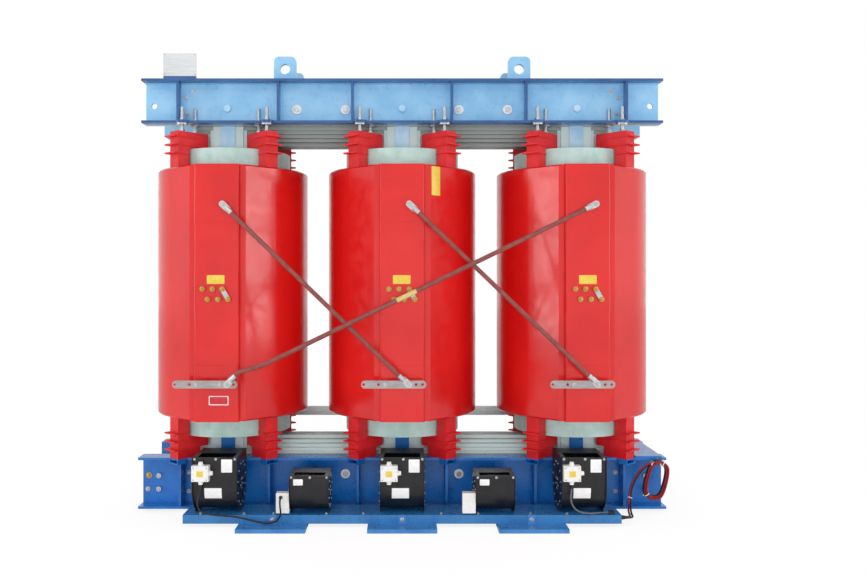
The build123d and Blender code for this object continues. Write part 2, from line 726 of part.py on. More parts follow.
def delta_lug(bolt, towards):
    """Palm under the bolt with a short barrel that grips the rod."""
    here, there = Vector(*bolt), Vector(*towards)
    along = (there - here).normalized()
    tilt = degrees(atan2(along.Z, along.X))
    palm = Pos(PALM_LENGTH / 2, 0) * SlotOverall(PALM_LENGTH + PALM_WIDTH, PALM_WIDTH)
    palm -= Circle(STUD_RADIUS + BOLT_CLEARANCE / 2)
    plate = extrude(Plane.XZ * Rot(0, 0, tilt) * palm, PALM_THICKNESS)
    plate = Pos(here.X, here.Y + BARREL_OFFSET, here.Z) * plate
    barrel = round_bar(BARREL_RADIUS, here + along * BARREL_START, here + along * BARREL_END)
    return plate + barrel


def delta_lugs():
    lugs = []
    for route in delta_leads().values():
        lugs += [delta_lug(route[0], route[1]), delta_lug(route[-1], route[-2])]
    return solids_of(lugs)


# ---------------------------------------------------------------- fans
def fan_outline(fan, grow=0.0):
    radius = fan["radius"] + grow
    upper = Pos(0, (fan["rise"] + grow) / 2) * Rectangle(2 * radius, fan["rise"] + grow)
    return Circle(radius) + upper


def fan_axis_z(fan):
    return RAIL_TOP + fan["radius"] + FAN_RIM


def end_plate(fan):
    """Side plate with radial inlet slots and the shaft's bearing hole."""
    foot = Pos(0, -(fan["radius"] + FAN_RIM) * 0.75) * Rectangle(fan["radius"], (fan["radius"] + FAN_RIM) / 2)
    outline = fan_outline(fan, FAN_RIM) + foot
    outline -= Pos(0, fan["rise"] + FAN_RIM) * Rectangle(4 * fan["radius"], 2 * FAN_RIM)
    outline -= Circle(SHAFT_RADIUS + SHAFT_CLEARANCE)
    inner, outer = 0.3 * fan["radius"], 0.72 * fan["radius"]
    slot = Polygon((inner, -0.02 * outer), (outer, -0.14 * outer),
                   (outer, 0.14 * outer), (inner, 0.02 * outer), align=None)
    for step in range(FAN_SLOTS):
        outline -= Rot(0, 0, step * 360 / FAN_SLOTS) * slot
    return extrude(Plane.YZ * outline, FAN_WALL)


def fan_housing(fan):
    """Folded sheet drum with an upward outlet, closed by two slotted side plates."""
    width = fan["width"]
    shell = fan_outline(fan) - fan_outline(fan, -FAN_WALL)
    drum = extrude(Plane.YZ * shell, width / 2, both=True)
    roof = fan["rise"]
    outlet_half = width / 2 - 2 * FAN_RIM
    drum -= block(-outlet_half, outlet_half, -fan["radius"] + FAN_RIM, 0, roof - 2 * FAN_WALL, roof)
    plate = end_plate(fan)
    return drum + Pos(width / 2 - FAN_WALL, 0, 0) * plate + Pos(-width / 2, 0, 0) * plate


def impeller(fan):
    """Squirrel-cage wheel: two end rings and a centre disc carry the blades on one shaft."""
    outer = fan["radius"] - IMPELLER_GAP
    inner = 0.8 * outer
    half = fan["width"] / 2 - FAN_WALL - IMPELLER_GAP
    wheel = round_bar(SHAFT_RADIUS, (-fan["width"] / 2, 0, 0), (fan["width"] / 2, 0, 0))
    wheel += round_bar(outer, (-BLADE_THICKNESS / 2, 0, 0), (BLADE_THICKNESS / 2, 0, 0))
    ring = extrude(Plane.YZ * (Circle(outer) - Circle(inner)), BLADE_THICKNESS)
    wheel += Pos(-half, 0, 0) * ring + Pos(half - BLADE_THICKNESS, 0, 0) * ring
    blade = Pos(0, (outer + inner) / 2, 0) * Rot(25, 0, 0) * Box(2 * half, outer - inner, BLADE_THICKNESS)
    blades = [Rot(step * 360 / BLADES, 0, 0) * blade for step in range(BLADES)]
    return wheel + blades


def fan_places():
    """Name, sizes, place along the rail and side of every fan."""
    places = []
    for name, x in zip(("left", "centre", "right"), BIG_FAN_X):
        places.append((f"fan_front_{name}", BIG_FAN, x, False))
        places.append((f"fan_rear_{name}", BIG_FAN, x, True))
    for name, x in zip(("left", "right"), SMALL_FAN_X):
        places.append((f"small_fan_{name}", SMALL_FAN, x, False))
    return places


def on_rail(shape, fan, x, at_rear):
    """Moves a shape from the fan's own axis to its seat on the front or rear rail."""
    seated = Pos(x, -RAIL_FRONT + fan["radius"], fan_axis_z(fan)) * shape
    return rear(seated) if at_rear else seated


def junction_box():
    """Terminal box on a big fan's front, with glands above, below and at its side."""
    width, depth, height = BOX_SIZE
    front = -BIG_FAN["radius"] - depth
    middle = (front + depth / 2, BOX_RISE)
    box = block(BOX_X - width / 2, BOX_X + width / 2, front, front + depth,
                BOX_RISE - height / 2, BOX_RISE + height / 2)
    for end in (-height / 2 - GLAND_LENGTH, height / 2 + GLAND_LENGTH):
        box += round_bar(GLAND_RADIUS, (BOX_X, *middle), (BOX_X, middle[0], BOX_RISE + end))
    side = BOX_X + width / 2
    return box + round_bar(GLAND_RADIUS, (side, *middle), (side + GLAND_LENGTH, *middle))


def side_box():
    """Capacitor box on a small fan's left end, with a gland in its front."""
    width, depth, height = SIDE_BOX_SIZE
    end = -SMALL_FAN["width"] / 2
    front = -SMALL_FAN["radius"]
    box = block(end - width, end, front, front + depth, -SIDE_BOX_DROP - height / 2, -SIDE_BOX_DROP + height / 2)
    x, z = end + SIDE_GLAND_X, -SIDE_BOX_DROP + SIDE_GLAND_RISE
    return box + round_bar(GLAND_RADIUS * 0.8, (x, front, z), (x, front - SIDE_GLAND_LENGTH, z))


def fan_boxes():
    boxes = []
    for name, fan, x, at_rear in fan_places():
        box = side_box() if fan is SMALL_FAN else junction_box()
        boxes.append(on_rail(box, fan, x, at_rear))
    return solids_of(boxes)


# ---------------------------------------------------------------- plate and small fittings
def nameplate_bracket():
    """Folded sheet that stands on the front upper clamp's flange."""
    width, height = NAMEPLATE
    left, right = NAMEPLATE_X - width / 2, NAMEPLATE_X + width / 2
    top = UPPER_CLAMP_TOP + NAMEPLATE_RISE + height
    foot = block(left, right, -FLANGE_FRONT, -FLANGE_FRONT + BRACKET_FOOT,
                 UPPER_CLAMP_TOP, UPPER_CLAMP_TOP + SHEET_METAL)
    upright = block(left, right, -FLANGE_FRONT, -FLANGE_FRONT + SHEET_METAL, UPPER_CLAMP_TOP, top)
    return foot + upright


def nameplate():
    width, height = NAMEPLATE
    low = UPPER_CLAMP_TOP + NAMEPLATE_RISE
    return block(NAMEPLATE_X - width / 2, NAMEPLATE_X + width / 2,
                 -FLANGE_FRONT - SHEET_METAL / 2, -FLANGE_FRONT, low, low + height)


def cable_entry():
    """Small block on the rail's top that takes the right fan's lead inside the rail."""
    length, width, height = ENTRY_SIZE
    return block(ENTRY_X, ENTRY_X + length, -ENTRY_Y - width / 2, -ENTRY_Y + width / 2, RAIL_TOP, RAIL_TOP + height)


def supply_glands():
    """End cap in the rail's mouth with a gland for each supply lead."""
    cap = block(RAIL_HALF - RAIL_WALL, RAIL_HALF, -RAIL_FRONT + RAIL_WALL, -RAIL_BACK - RAIL_WALL,
                FOOT_THICKNESS + RAIL_WALL, RAIL_TOP - RAIL_WALL)
    for route in (BLACK_ROUTE, RED_ROUTE):
        _, y, z = route[0]
        cap += round_bar(1.5 * SUPPLY_RADIUS, (RAIL_HALF, y, z), (RAIL_HALF + SUPPLY_GLAND_LENGTH, y, z))
    return cap


def hank_hook():
    """Strap on the lower clamp's flange that both hanks hang on."""
    lean, rise = sin(radians(HANK_TILT)), cos(radians(HANK_TILT))
    top = sqrt((HANK_HALF_HEIGHT * rise)**2 + (HANK_HALF_WIDTH * lean)**2)
    across = (HANK_HALF_HEIGHT**2 - HANK_HALF_WIDTH**2) * lean * rise / top
    x = HANK_CENTRES["black"][0] + across - HOOK_WIDTH / 2
    z = HANK_CENTRES["black"][2] + top - HANK_RADIUS - HOOK_GAP
    front = HANK_CENTRES["red"][1] - HANK_RADIUS - HOOK_THICKNESS
    strap = block(x, x + HOOK_WIDTH, -FLANGE_FRONT - HOOK_THICKNESS, -FLANGE_FRONT, z - HOOK_THICKNESS, LOWER_CLAMP_TOP)
    shelf = block(x, x + HOOK_WIDTH, front, -FLANGE_FRONT, z - HOOK_THICKNESS, z)
    lip = block(x, x + HOOK_WIDTH, front, front + HOOK_THICKNESS, z - HOOK_THICKNESS, z + HANK_RADIUS)
    return strap + shelf + lip


# ---------------------------------------------------------------- cables
FAN_LEAD_LEFT = [
    (-920, -517.5, 202.5), (-920, -517.5, 176), (-928, -523, 148), (-934, -528, 119), (-927, -530, 92),
    (-903, -530, 75), (-866, -529, 67), (-818, -528, 63), (-765, -526, 58), (-712, -525, 47),
    (-663, -525, 34), (-617, -527, 27), (-581, -531, 34), (-557, -537, 57), (-549, -543, 87),
    (-552, -545, 117), (-556, -533, 141), (-556, -508, 141),
]
FAN_LEAD_RIGHT = [
    (774, -517.5, 202.5), (774, -517.5, 176), (768, -525, 149), (770, -530, 120), (785, -529, 94),
    (813, -523, 77), (848, -511, 69), (887, -498, 66), (922, -485, 66), (950, -485, 66),
]
BLACK_ROUTE = [
    (1015, -480, 40), (1042, -480, 40), (1068, -468, 38), (1083, -438, 36), (1086, -396, 36), (1083, -352, 38),
    (1077, -312, 44), (1069, -280, 62), (1063, -265, 96), (1064, -264, 134), (1078, -264, 172),
    (1108, -265, 206), (1150, -266, 232), (1196, -267, 247), (1240, -267, 252),
]
RED_ROUTE = [
    (1015, -465, 40), (1040, -465, 40), (1062, -453, 38), (1073, -426, 36), (1074, -388, 36), (1070, -348, 37),
    (1062, -314, 45), (1055, -290, 65), (1051, -278, 99), (1054, -278, 138), (1069, -279, 180),
    (1100, -281, 217), (1142, -285, 242), (1186, -288, 252), (1236, -289, 252),
]
HANK_CENTRES = {"black": (1231, -267, 166), "red": (1231, -289, 166)}


def cable(name, route, radius):
    """Tube of a free cable, with its length and bend radii printed."""
    tube, radii, length = bent_rod(route, radius)
    section = Circle(radius).area
    print(f"{name}: {length:.0f} mm, bends", [round(r) for r in radii], f"fill {tube.volume / section / length:.4f}")
    return tube


def hank(centre, tilt):
    """Outer shape of the wound part of a supply lead: one long closed loop."""
    plane = Plane(origin=centre, x_dir=(1, 0, 0), z_dir=(0, -1, 0))
    loop = plane * Rot(0, 0, -tilt) * Ellipse(HANK_HALF_WIDTH, HANK_HALF_HEIGHT)
    path = loop.edges()[0]
    section = Plane(origin=path @ 0, z_dir=path % 0) * Circle(HANK_RADIUS)
    return sweep(section, path=path)


# ---------------------------------------------------------------- the whole transformer
def all_pieces():
    front_upper, front_lower = upper_clamp(), lower_clamp()
    front_ties, rail, winding, sleeve = tie_plates(), fan_rail(), hv_winding(), lv_winding()
    pieces = {
        "core_limbs": solids_of(at_coils(core_limb())),
        "core_yoke_top": core_yoke(YOKE_HIGH_Z) - yoke_bolt_holes(),
        "core_yoke_bottom": core_yoke(YOKE_LOW_Z) - yoke_bolt_holes(),
        "yoke_insulation": yoke_insulation(),
        "tie_plates": solids_of([front_ties, rear(front_ties)]),
        "upper_clamp_front": front_upper,
        "upper_clamp_rear": rear(front_upper),
        "lower_clamp_front": front_lower,
        "lower_clamp_rear": rear(front_lower),
        "cross_plate": cross_plate(),
        "fan_rails": solids_of([rail, rear(rail)]),
        "base_feet": solids_of([Pos(x, 0, 0) * base_foot() for x in FOOT_X]),
        "upper_support_blocks": block_set(upper_block()),
        "lower_support_blocks": block_set(lower_block()),
        "pressure_bolts": pressure_bolts(),
        "yoke_bolts": yoke_bolts(),
        "tie_bolts": tie_bolts(),
        "end_studs": end_studs(),
        "hv_line_bars": solids_of(at_coils(hv_line_bar())),
        "terminal_bolts": terminal_bolts(),
        "tap_studs": tap_studs(),
        "tap_links": solids_of(at_coils(tap_link())),
        "delta_lugs": delta_lugs(),
        "lv_phase_bars": solids_of(at_coils(lv_phase_bar())),
        "lv_neutral_bar": lv_neutral_bar(),
        "bar_insulators": solids_of(at_coils(bar_insulator())),
        "fan_boxes": fan_boxes(),
        "nameplate_bracket": nameplate_bracket(),
        "nameplate": nameplate(),
        "rail_fittings": solids_of([cable_entry(), supply_glands()]),
        "hank_hook": hank_hook(),
        "fan_lead_left": cable("fan_lead_left", FAN_LEAD_LEFT, LEAD_RADIUS),
        "fan_lead_right": cable("fan_lead_right", FAN_LEAD_RIGHT, LEAD_RADIUS),
        "supply_lead_black": cable("supply_lead_black", BLACK_ROUTE, SUPPLY_RADIUS),
        "supply_lead_red": cable("supply_lead_red", RED_ROUTE, SUPPLY_RADIUS),
        "supply_hank_black": hank(HANK_CENTRES["black"], HANK_TILT),
        "supply_hank_red": hank(HANK_CENTRES["red"], HANK_TILT),
    }
    for name, x in zip(("left", "centre", "right"), COIL_X):
        pieces[f"hv_winding_{name}"] = Pos(x, 0, 0) * winding
        pieces[f"lv_winding_{name}"] = Pos(x, 0, 0) * sleeve
    for name, route in delta_leads().items():
        pieces[f"delta_rod_{name}"] = delta_rod(route)
    rear_housings = []
    for name, fan, x, at_rear in fan_places():
        pieces[f"{name}_impeller"] = on_rail(impeller(fan), fan, x, at_rear)
        housing = on_rail(fan_housing(fan), fan, x, at_rear)
        if at_rear:
            rear_housings.append(housing)
        else:
            pieces[f"{name}_housing"] = housing
    pieces["fan_rear_housings"] = solids_of(rear_housings)
    return pieces


os.makedirs("parts", exist_ok=True)
for node, piece in all_pieces().items():
    export_step(piece, f"parts/{node}.step")
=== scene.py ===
# %% [markdown]
# # A cast-resin dry type transformer
# The solids come packed from the CAD model, at their real size and place. This lesson gives each
# surface its finish and adds what is too small or too soft for CAD: cables, screws, labels,
# welds and tape. Blender works in metres, with the floor at z = 0 and the high-voltage side at
# -Y. The sizes of small pieces are written in millimetres, as on a drawing, and MM turns them
# into metres where a mesh is made.

# %% Load the frame
import math

import bmesh
import bpy
from mathutils import Matrix, Vector


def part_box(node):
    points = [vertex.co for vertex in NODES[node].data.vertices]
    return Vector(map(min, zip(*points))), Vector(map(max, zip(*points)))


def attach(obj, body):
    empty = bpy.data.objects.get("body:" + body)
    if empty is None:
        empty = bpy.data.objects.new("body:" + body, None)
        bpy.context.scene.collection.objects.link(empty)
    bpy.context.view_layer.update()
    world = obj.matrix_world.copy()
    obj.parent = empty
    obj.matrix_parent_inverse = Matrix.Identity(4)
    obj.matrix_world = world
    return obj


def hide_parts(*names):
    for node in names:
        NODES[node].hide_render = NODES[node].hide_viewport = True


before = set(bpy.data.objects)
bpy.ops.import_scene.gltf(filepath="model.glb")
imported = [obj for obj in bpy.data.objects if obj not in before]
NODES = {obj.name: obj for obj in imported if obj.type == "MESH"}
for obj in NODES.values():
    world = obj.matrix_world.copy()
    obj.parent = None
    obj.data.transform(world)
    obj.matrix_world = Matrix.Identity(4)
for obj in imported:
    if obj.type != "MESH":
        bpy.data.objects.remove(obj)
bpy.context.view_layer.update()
BODY = "transformer"
MM = 0.001
print("solids in the frame:", len(NODES))

# %% [markdown]
# ## Camera
# A product view of a tall machine is taken from the middle of its height, so that its posts
# stay upright. A small shift of the lens frames the machine without turning the camera.

# %% Camera
camera_data = bpy.data.cameras.new("camera")
camera_data.lens = 34.9
camera_data.sensor_width = 36.0
camera_data.shift_x = 0.0356
camera_data.shift_y = -0.0098
camera_data.clip_end = 60.0
camera = bpy.data.objects.new("camera", camera_data)
camera.location = (0.0, -4.35, 1.136)
camera.rotation_euler = (math.radians(90), 0.0, 0.0)
bpy.context.scene.collection.objects.link(camera)
bpy.context.scene.camera = camera
bpy.context.scene.view_settings.view_transform = "Standard"
print("camera distance from the coil row:", -camera.location.y, "m")

# %% [markdown]
# ## A few tools for finishes
# Every finish here is a small node tree, because a procedural finish has no seams and keeps its
# scale on every part. Colours are picked as sRGB hex values, but the shader works on linear
# light, so one function converts them. Another adds a node with its settings and links. The
# patterns all read Object coordinates, which are metres here, so that a pattern's scale can be
# worked out from the real grain: a scale of 1 / size gives a feature of that size.

# %% Tools for finishes
def linear(hex_code):
    """An sRGB hex colour as the linear colour that a shader socket expects."""
    parts = [int(hex_code[place:place + 2], 16) / 255 for place in (1, 3, 5)]
    return [part / 12.92 if part <= 0.04045 else ((part + 0.055) / 1.055) ** 2.4 for part in parts] + [1.0]


def add_node(tree, kind, settings=None, inputs=None):
    """A new node: settings are its properties, inputs are values or the sockets that feed it."""
    new = tree.nodes.new(kind)
    for key, value in (settings or {}).items():
        setattr(new, key, value)
    for socket, value in (inputs or {}).items():
        if isinstance(value, bpy.types.NodeSocket):
            tree.links.new(value, new.inputs[socket])
        else:
            new.inputs[socket].default_value = value
    return new


def start_finish(name, values):
    """A material with its shader's plain values set; gives the tree, shader and place as well."""
    material = bpy.data.materials.new(name)
    material.use_nodes = True
    tree = material.node_tree
    shader = tree.nodes["Principled BSDF"]
    for socket, value in values.items():
        shader.inputs[socket].default_value = value
    place = add_node(tree, "ShaderNodeTexCoord").outputs["Object"]
    return material, tree, shader, place


def grain(tree, place, size, detail=3.0, stretch=(1, 1, 1)):
    """Soft noise whose features are about size metres across, longer where stretch is under 1."""
    turned = add_node(tree, "ShaderNodeMapping", inputs={"Vector": place, "Scale": stretch})
    noise = add_node(tree, "ShaderNodeTexNoise", inputs={
        "Vector": turned.outputs["Vector"], "Scale": 1.0 / size, "Detail": detail, "Roughness": 0.55})
    return noise.outputs["Fac"]


def between(tree, amount, low, high, start=0.35, end=0.65):
    """A colour or a value that runs from low to high as amount runs from start to end."""
    ramp = add_node(tree, "ShaderNodeMapRange", inputs={
        "Value": amount, "From Min": start, "From Max": end})
    if isinstance(low, str):
        mix = add_node(tree, "ShaderNodeMix", {"data_type": "RGBA"}, {
            "Factor": ramp.outputs["Result"], "A": linear(low), "B": linear(high)})
        return mix.outputs[2]
    ramp.inputs["To Min"].default_value = low
    ramp.inputs["To Max"].default_value = high
    return ramp.outputs["Result"]


def feed(tree, shader, colour=None, roughness=None, height=None, depth=0.0005, strength=0.3):
    """Links a finish's patterns to its shader; depth is the real height of the relief in metres."""
    if colour is not None:
        tree.links.new(colour, shader.inputs["Base Color"])
    if roughness is not None:
        tree.links.new(roughness, shader.inputs["Roughness"])
    if height is not None:
        bump = add_node(tree, "ShaderNodeBump", inputs={
            "Height": height, "Distance": depth, "Strength": strength})
        tree.links.new(bump.outputs["Normal"], shader.inputs["Normal"])


# %% [markdown]
# ## Cast epoxy resin
# The windings are wound, put in a steel mould and cast in pigmented epoxy under vacuum. The
# resin comes out of a polished mould almost like lacquer, so it is glossy, with an IOR of 1.5,
# but it shrinks a little over the glass mesh inside. The eye sees that as a slow waviness that
# bends the long reflections, so the bump is broad and shallow rather than a fine grain. The
# low-voltage winding has only its ends and faces sealed with grey-green resin, which is duller.
# The support blocks are pressed from polyester moulding compound, a shade darker and less glossy.

# %% Resin finishes
def red_cast_resin():
    material, tree, shader, place = start_finish("red cast epoxy resin", {
        "IOR": 1.5, "Coat Weight": 0.15, "Coat Roughness": 0.05})
    pigment = grain(tree, place, 0.35)
    shrink = grain(tree, place, 0.09, 1.5, (1.0, 1.0, 0.22))
    feed(tree, shader, between(tree, pigment, "#CE1112", "#DB1916"),
         between(tree, grain(tree, place, 0.05), 0.17, 0.27), shrink, 0.0035, 0.35)
    return material


def red_pressed_blocks():
    material, tree, shader, place = start_finish("red moulding compound", {"IOR": 1.52})
    feed(tree, shader, between(tree, grain(tree, place, 0.06), "#CF1119", "#DF1C22"),
         between(tree, grain(tree, place, 0.01), 0.42, 0.58), grain(tree, place, 0.006), 0.0003, 0.3)
    return material


def green_sealing_resin():
    material, tree, shader, place = start_finish("grey-green sealing resin", {"IOR": 1.52})
    feed(tree, shader, between(tree, grain(tree, place, 0.05), "#A9CDC6", "#BEDBD6"),
         between(tree, grain(tree, place, 0.02), 0.35, 0.5), grain(tree, place, 0.012, stretch=(1, 1, 0.3)),
         0.0006, 0.35)
    return material


RED_RESIN = red_cast_resin()
RED_BLOCKS = red_pressed_blocks()
GREEN_RESIN = green_sealing_resin()
print("resins:", ", ".join(finish.name for finish in (RED_RESIN, RED_BLOCKS, GREEN_RESIN)))

# %% [markdown]
# ## Enamel on welded steel
# The clamps, feet and rails are welded from plate, primed and sprayed with gloss enamel. Spraying
# leaves an orange peel of about 4 mm. The same recipe makes the deep blue of the lower clamps and
# the plainer blue of rails and feet. The upper clamps' enamel is deep blue, as on their flanges'
# edges and ribs; the light blue on their web is a painted reflection of the bright sky in the gloss.
# The tie plates are lighter above and deeper below. A second recipe mixes two shades by how far
# the paint lies from the middle of the machine. The blowers are powder coated, which is grainier
# and less glossy.

# %% Paint finishes
def blue_enamel(name, dark, light):
    material, tree, shader, place = start_finish(name, {
        "IOR": 1.5, "Coat Weight": 0.25, "Coat Roughness": 0.1})
    feed(tree, shader, between(tree, grain(tree, place, 0.12), dark, light),
         between(tree, grain(tree, place, 0.03), 0.24, 0.4), grain(tree, place, 0.004, 1.0), 0.0002, 0.25)
    return material


BLEND = 0.004


def enamel_in_two_shades(name, near, far, axis, split):
    """Enamel that changes shade where the distance along an axis from the middle passes split."""
    material, tree, shader, place = start_finish(name, {
        "IOR": 1.5, "Coat Weight": 0.2, "Coat Roughness": 0.12})
    patch = grain(tree, place, 0.12)
    along = add_node(tree, "ShaderNodeSeparateXYZ", inputs={"Vector": place}).outputs[axis]
    reach = add_node(tree, "ShaderNodeMath", {"operation": "ABSOLUTE"}, {0: along})
    share = add_node(tree, "ShaderNodeMapRange", inputs={
        "Value": reach.outputs[0], "From Min": split - BLEND, "From Max": split + BLEND})
    mix = add_node(tree, "ShaderNodeMix", {"data_type": "RGBA"}, {
        "Factor": share.outputs["Result"],
        "A": between(tree, patch, *near), "B": between(tree, patch, *far)})
    feed(tree, shader, mix.outputs[2], between(tree, grain(tree, place, 0.03), 0.26, 0.42),
         grain(tree, place, 0.004, 1.0), 0.0002, 0.2)
    return material


def black_powder_coat():
    # The real grain is under a millimetre, so it is drawn at 2 mm to show at this distance.
    material, tree, shader, place = start_finish("black powder coat", {"IOR": 1.5})
    feed(tree, shader, between(tree, grain(tree, place, 0.05), "#101114", "#1B1C20"),
         between(tree, grain(tree, place, 0.02), 0.3, 0.44), grain(tree, place, 0.002, 1.0), 0.0002, 0.35)
    return material


WEB_TO_FLANGE = 0.2
UPPER_HALF = 1.0
# The near shade, light blue on the upper clamps' web, is a painted reflection; the far shade is the clamps'
# own deep blue.
BLUE_WITH_PAINTED_REFLECTION = enamel_in_two_shades("deep blue enamel with painted web reflection", ("#83BCE4", "#9BCDEE"),
                             ("#1D4C84", "#285C98"), "Y", WEB_TO_FLANGE)
TIE_BLUE = enamel_in_two_shades("tie plate enamel", ("#1C66B4", "#2A76C4"),
                           ("#A2CCE8", "#C2DEF0"), "Z", UPPER_HALF)
DEEP_BLUE = blue_enamel("deep blue enamel", "#1168B8", "#1C74C6")
FOOT_BLUE = blue_enamel("foot blue enamel", "#3377BC", "#4488CC")
RAIL_BLUE = blue_enamel("rail blue enamel", "#2A70AC", "#357EBB")
BLACK_COAT = black_powder_coat()
PAINTS = (BLUE_WITH_PAINTED_REFLECTION, TIE_BLUE, DEEP_BLUE, FOOT_BLUE, RAIL_BLUE, BLACK_COAT)
print("paints:", ", ".join(finish.name for finish in PAINTS))

# %% [markdown]
# ## Metals
# Zinc plating is bright with a slight bloom, tin on copper bar is softer and brushed along the
# bar, brass studs are turned, and the nameplate is brushed stainless steel. A metal takes its
# colour from its reflection, so each is fully metallic with the default IOR, and differs in
# roughness and in the direction of its grain. The line bars are duller aluminium.

# %% Metal finishes
def plated(name, dark, light, smooth, rough, size, stretch=(1, 1, 1)):
    material, tree, shader, place = start_finish(name, {"Metallic": 1.0})
    pattern = grain(tree, place, size, 4.0, stretch)
    feed(tree, shader, between(tree, pattern, dark, light), between(tree, pattern, smooth, rough),
         pattern, 0.0001, 0.15)
    return material


ZINC = plated("zinc plated steel", "#AEB3B6", "#D3D6D8", 0.28, 0.42, 0.008)
TIN = plated("tinned copper bar", "#BFC1C2", "#DADBDB", 0.25, 0.4, 0.01, (0.15, 1, 1))
BAR_METAL = plated("aluminium line bar", "#A39FA0", "#BDBABA", 0.3, 0.45, 0.01, (0.15, 1, 1))
BRASS = plated("turned brass", "#B08A3E", "#D9B565", 0.22, 0.34, 0.004)
STAINLESS = plated("brushed stainless steel", "#B9BCBE", "#D2D4D5", 0.26, 0.4, 0.003, (0.03, 1, 1))
WHEEL_METAL = plated("pressed aluminium", "#A9ACAE", "#C9CBCC", 0.3, 0.45, 0.01)
print("metals:", ", ".join(finish.name for finish in (ZINC, TIN, BAR_METAL, BRASS, STAINLESS, WHEEL_METAL)))

# %% [markdown]
# ## Core sheets
# The core is a stack of steel sheets 0.3 mm thick that lie across Y. Where the stack shows its
# edges, along the yokes and limbs, it looks finely lined under its grey-green varnish. The
# sheets' own faces, which look along Y, are plain. A noise squeezed along Y draws the lines, at
# 4 mm so that they show, and the normal tells edges from faces.

# %% Core and board finishes
def core_varnish(name, dark, light):
    material, tree, shader, place = start_finish(name, {"IOR": 1.5})
    edges = grain(tree, place, 0.004, 2.0, (0.02, 1.0, 0.02))
    normal = add_node(tree, "ShaderNodeNewGeometry").outputs["Normal"]
    along = add_node(tree, "ShaderNodeSeparateXYZ", inputs={"Vector": normal}).outputs["Y"]
    facing = add_node(tree, "ShaderNodeMath", {"operation": "ABSOLUTE"}, {0: along})
    plain = add_node(tree, "ShaderNodeMath", {"operation": "MAXIMUM"}, {0: facing.outputs[0], 1: edges})
    feed(tree, shader, between(tree, plain.outputs[0], dark, light, 0.36, 0.6),
         between(tree, grain(tree, place, 0.03), 0.35, 0.5), edges, 0.0004, 0.4)
    return material


def pressboard():
    material, tree, shader, place = start_finish("calendered pressboard", {"Roughness": 0.8, "IOR": 1.45})
    feed(tree, shader, between(tree, grain(tree, place, 0.01, 5.0), "#B4AC8C", "#CEC7A9"), None,
         grain(tree, place, 0.002), 0.0002, 0.3)
    return material


CORE_STEEL = core_varnish("varnished core steel", "#5F6F6C", "#CBDCDB")
YOKE_STEEL = core_varnish("varnished yoke steel", "#4A5452", "#98A2A0")
PRESSBOARD = pressboard()
print("core finishes:", ", ".join(finish.name for finish in (CORE_STEEL, YOKE_STEEL, PRESSBOARD)))

# %% [markdown]
# ## Plastics, sleeves and cable sheaths
# Terminal boxes are moulded from white ABS, the delta rods wear a brown-red heat-shrink sleeve
# and the cables have PVC sheaths. They differ in colour and gloss, and each has a soft grain of
# its own size, so one recipe with named values makes them all.

# %% Plastic finishes
def plastic(name, dark, light, smooth, rough, size, ior=1.5, stretch=(1, 1, 1)):
    material, tree, shader, place = start_finish(name, {"IOR": ior})
    pattern = grain(tree, place, size, 3.0, stretch)
    feed(tree, shader, between(tree, pattern, dark, light), between(tree, pattern, smooth, rough),
         pattern, 0.0001, 0.2)
    return material


WHITE_ABS = plastic("white ABS moulding", "#E4E5E2", "#F1F1EF", 0.35, 0.45, 0.01)
ROD_SLEEVE = plastic("brown-red heat-shrink sleeve", "#7A3F3B", "#8F4E49", 0.34, 0.5, 0.03, 1.48)
BLACK_PVC = plastic("black PVC sheath", "#0F0F11", "#1A1A1D", 0.34, 0.46, 0.012)
GREY_PVC = plastic("grey PVC sheath", "#55575A", "#66686B", 0.38, 0.5, 0.012)
MAROON_PVC = plastic("maroon PVC sheath", "#7A0F1B", "#8E1724", 0.32, 0.45, 0.012)
WHITE_NYLON = plastic("white nylon", "#E9E9E6", "#F5F5F3", 0.35, 0.45, 0.01)
YELLOW_VINYL = plastic("yellow vinyl label", "#DDC040", "#E8CE52", 0.3, 0.4, 0.02)
WHITE_VINYL = plastic("white vinyl label", "#ECEDEC", "#F6F7F6", 0.3, 0.4, 0.02)
RED_VINYL = plastic("red vinyl label", "#C3202A", "#D02C34", 0.3, 0.4, 0.02)
BEIGE_TAPE = plastic("yellow-beige fibre tape", "#C9B061", "#DAC585", 0.5, 0.7, 0.006)
print("finishes made:", len(bpy.data.materials))

# %% [markdown]
# ## Which solid wears which finish
# A CAD solid keeps its shape here and takes a better finish through its material slots. A list
# from finish to node names keeps that choice in one place.

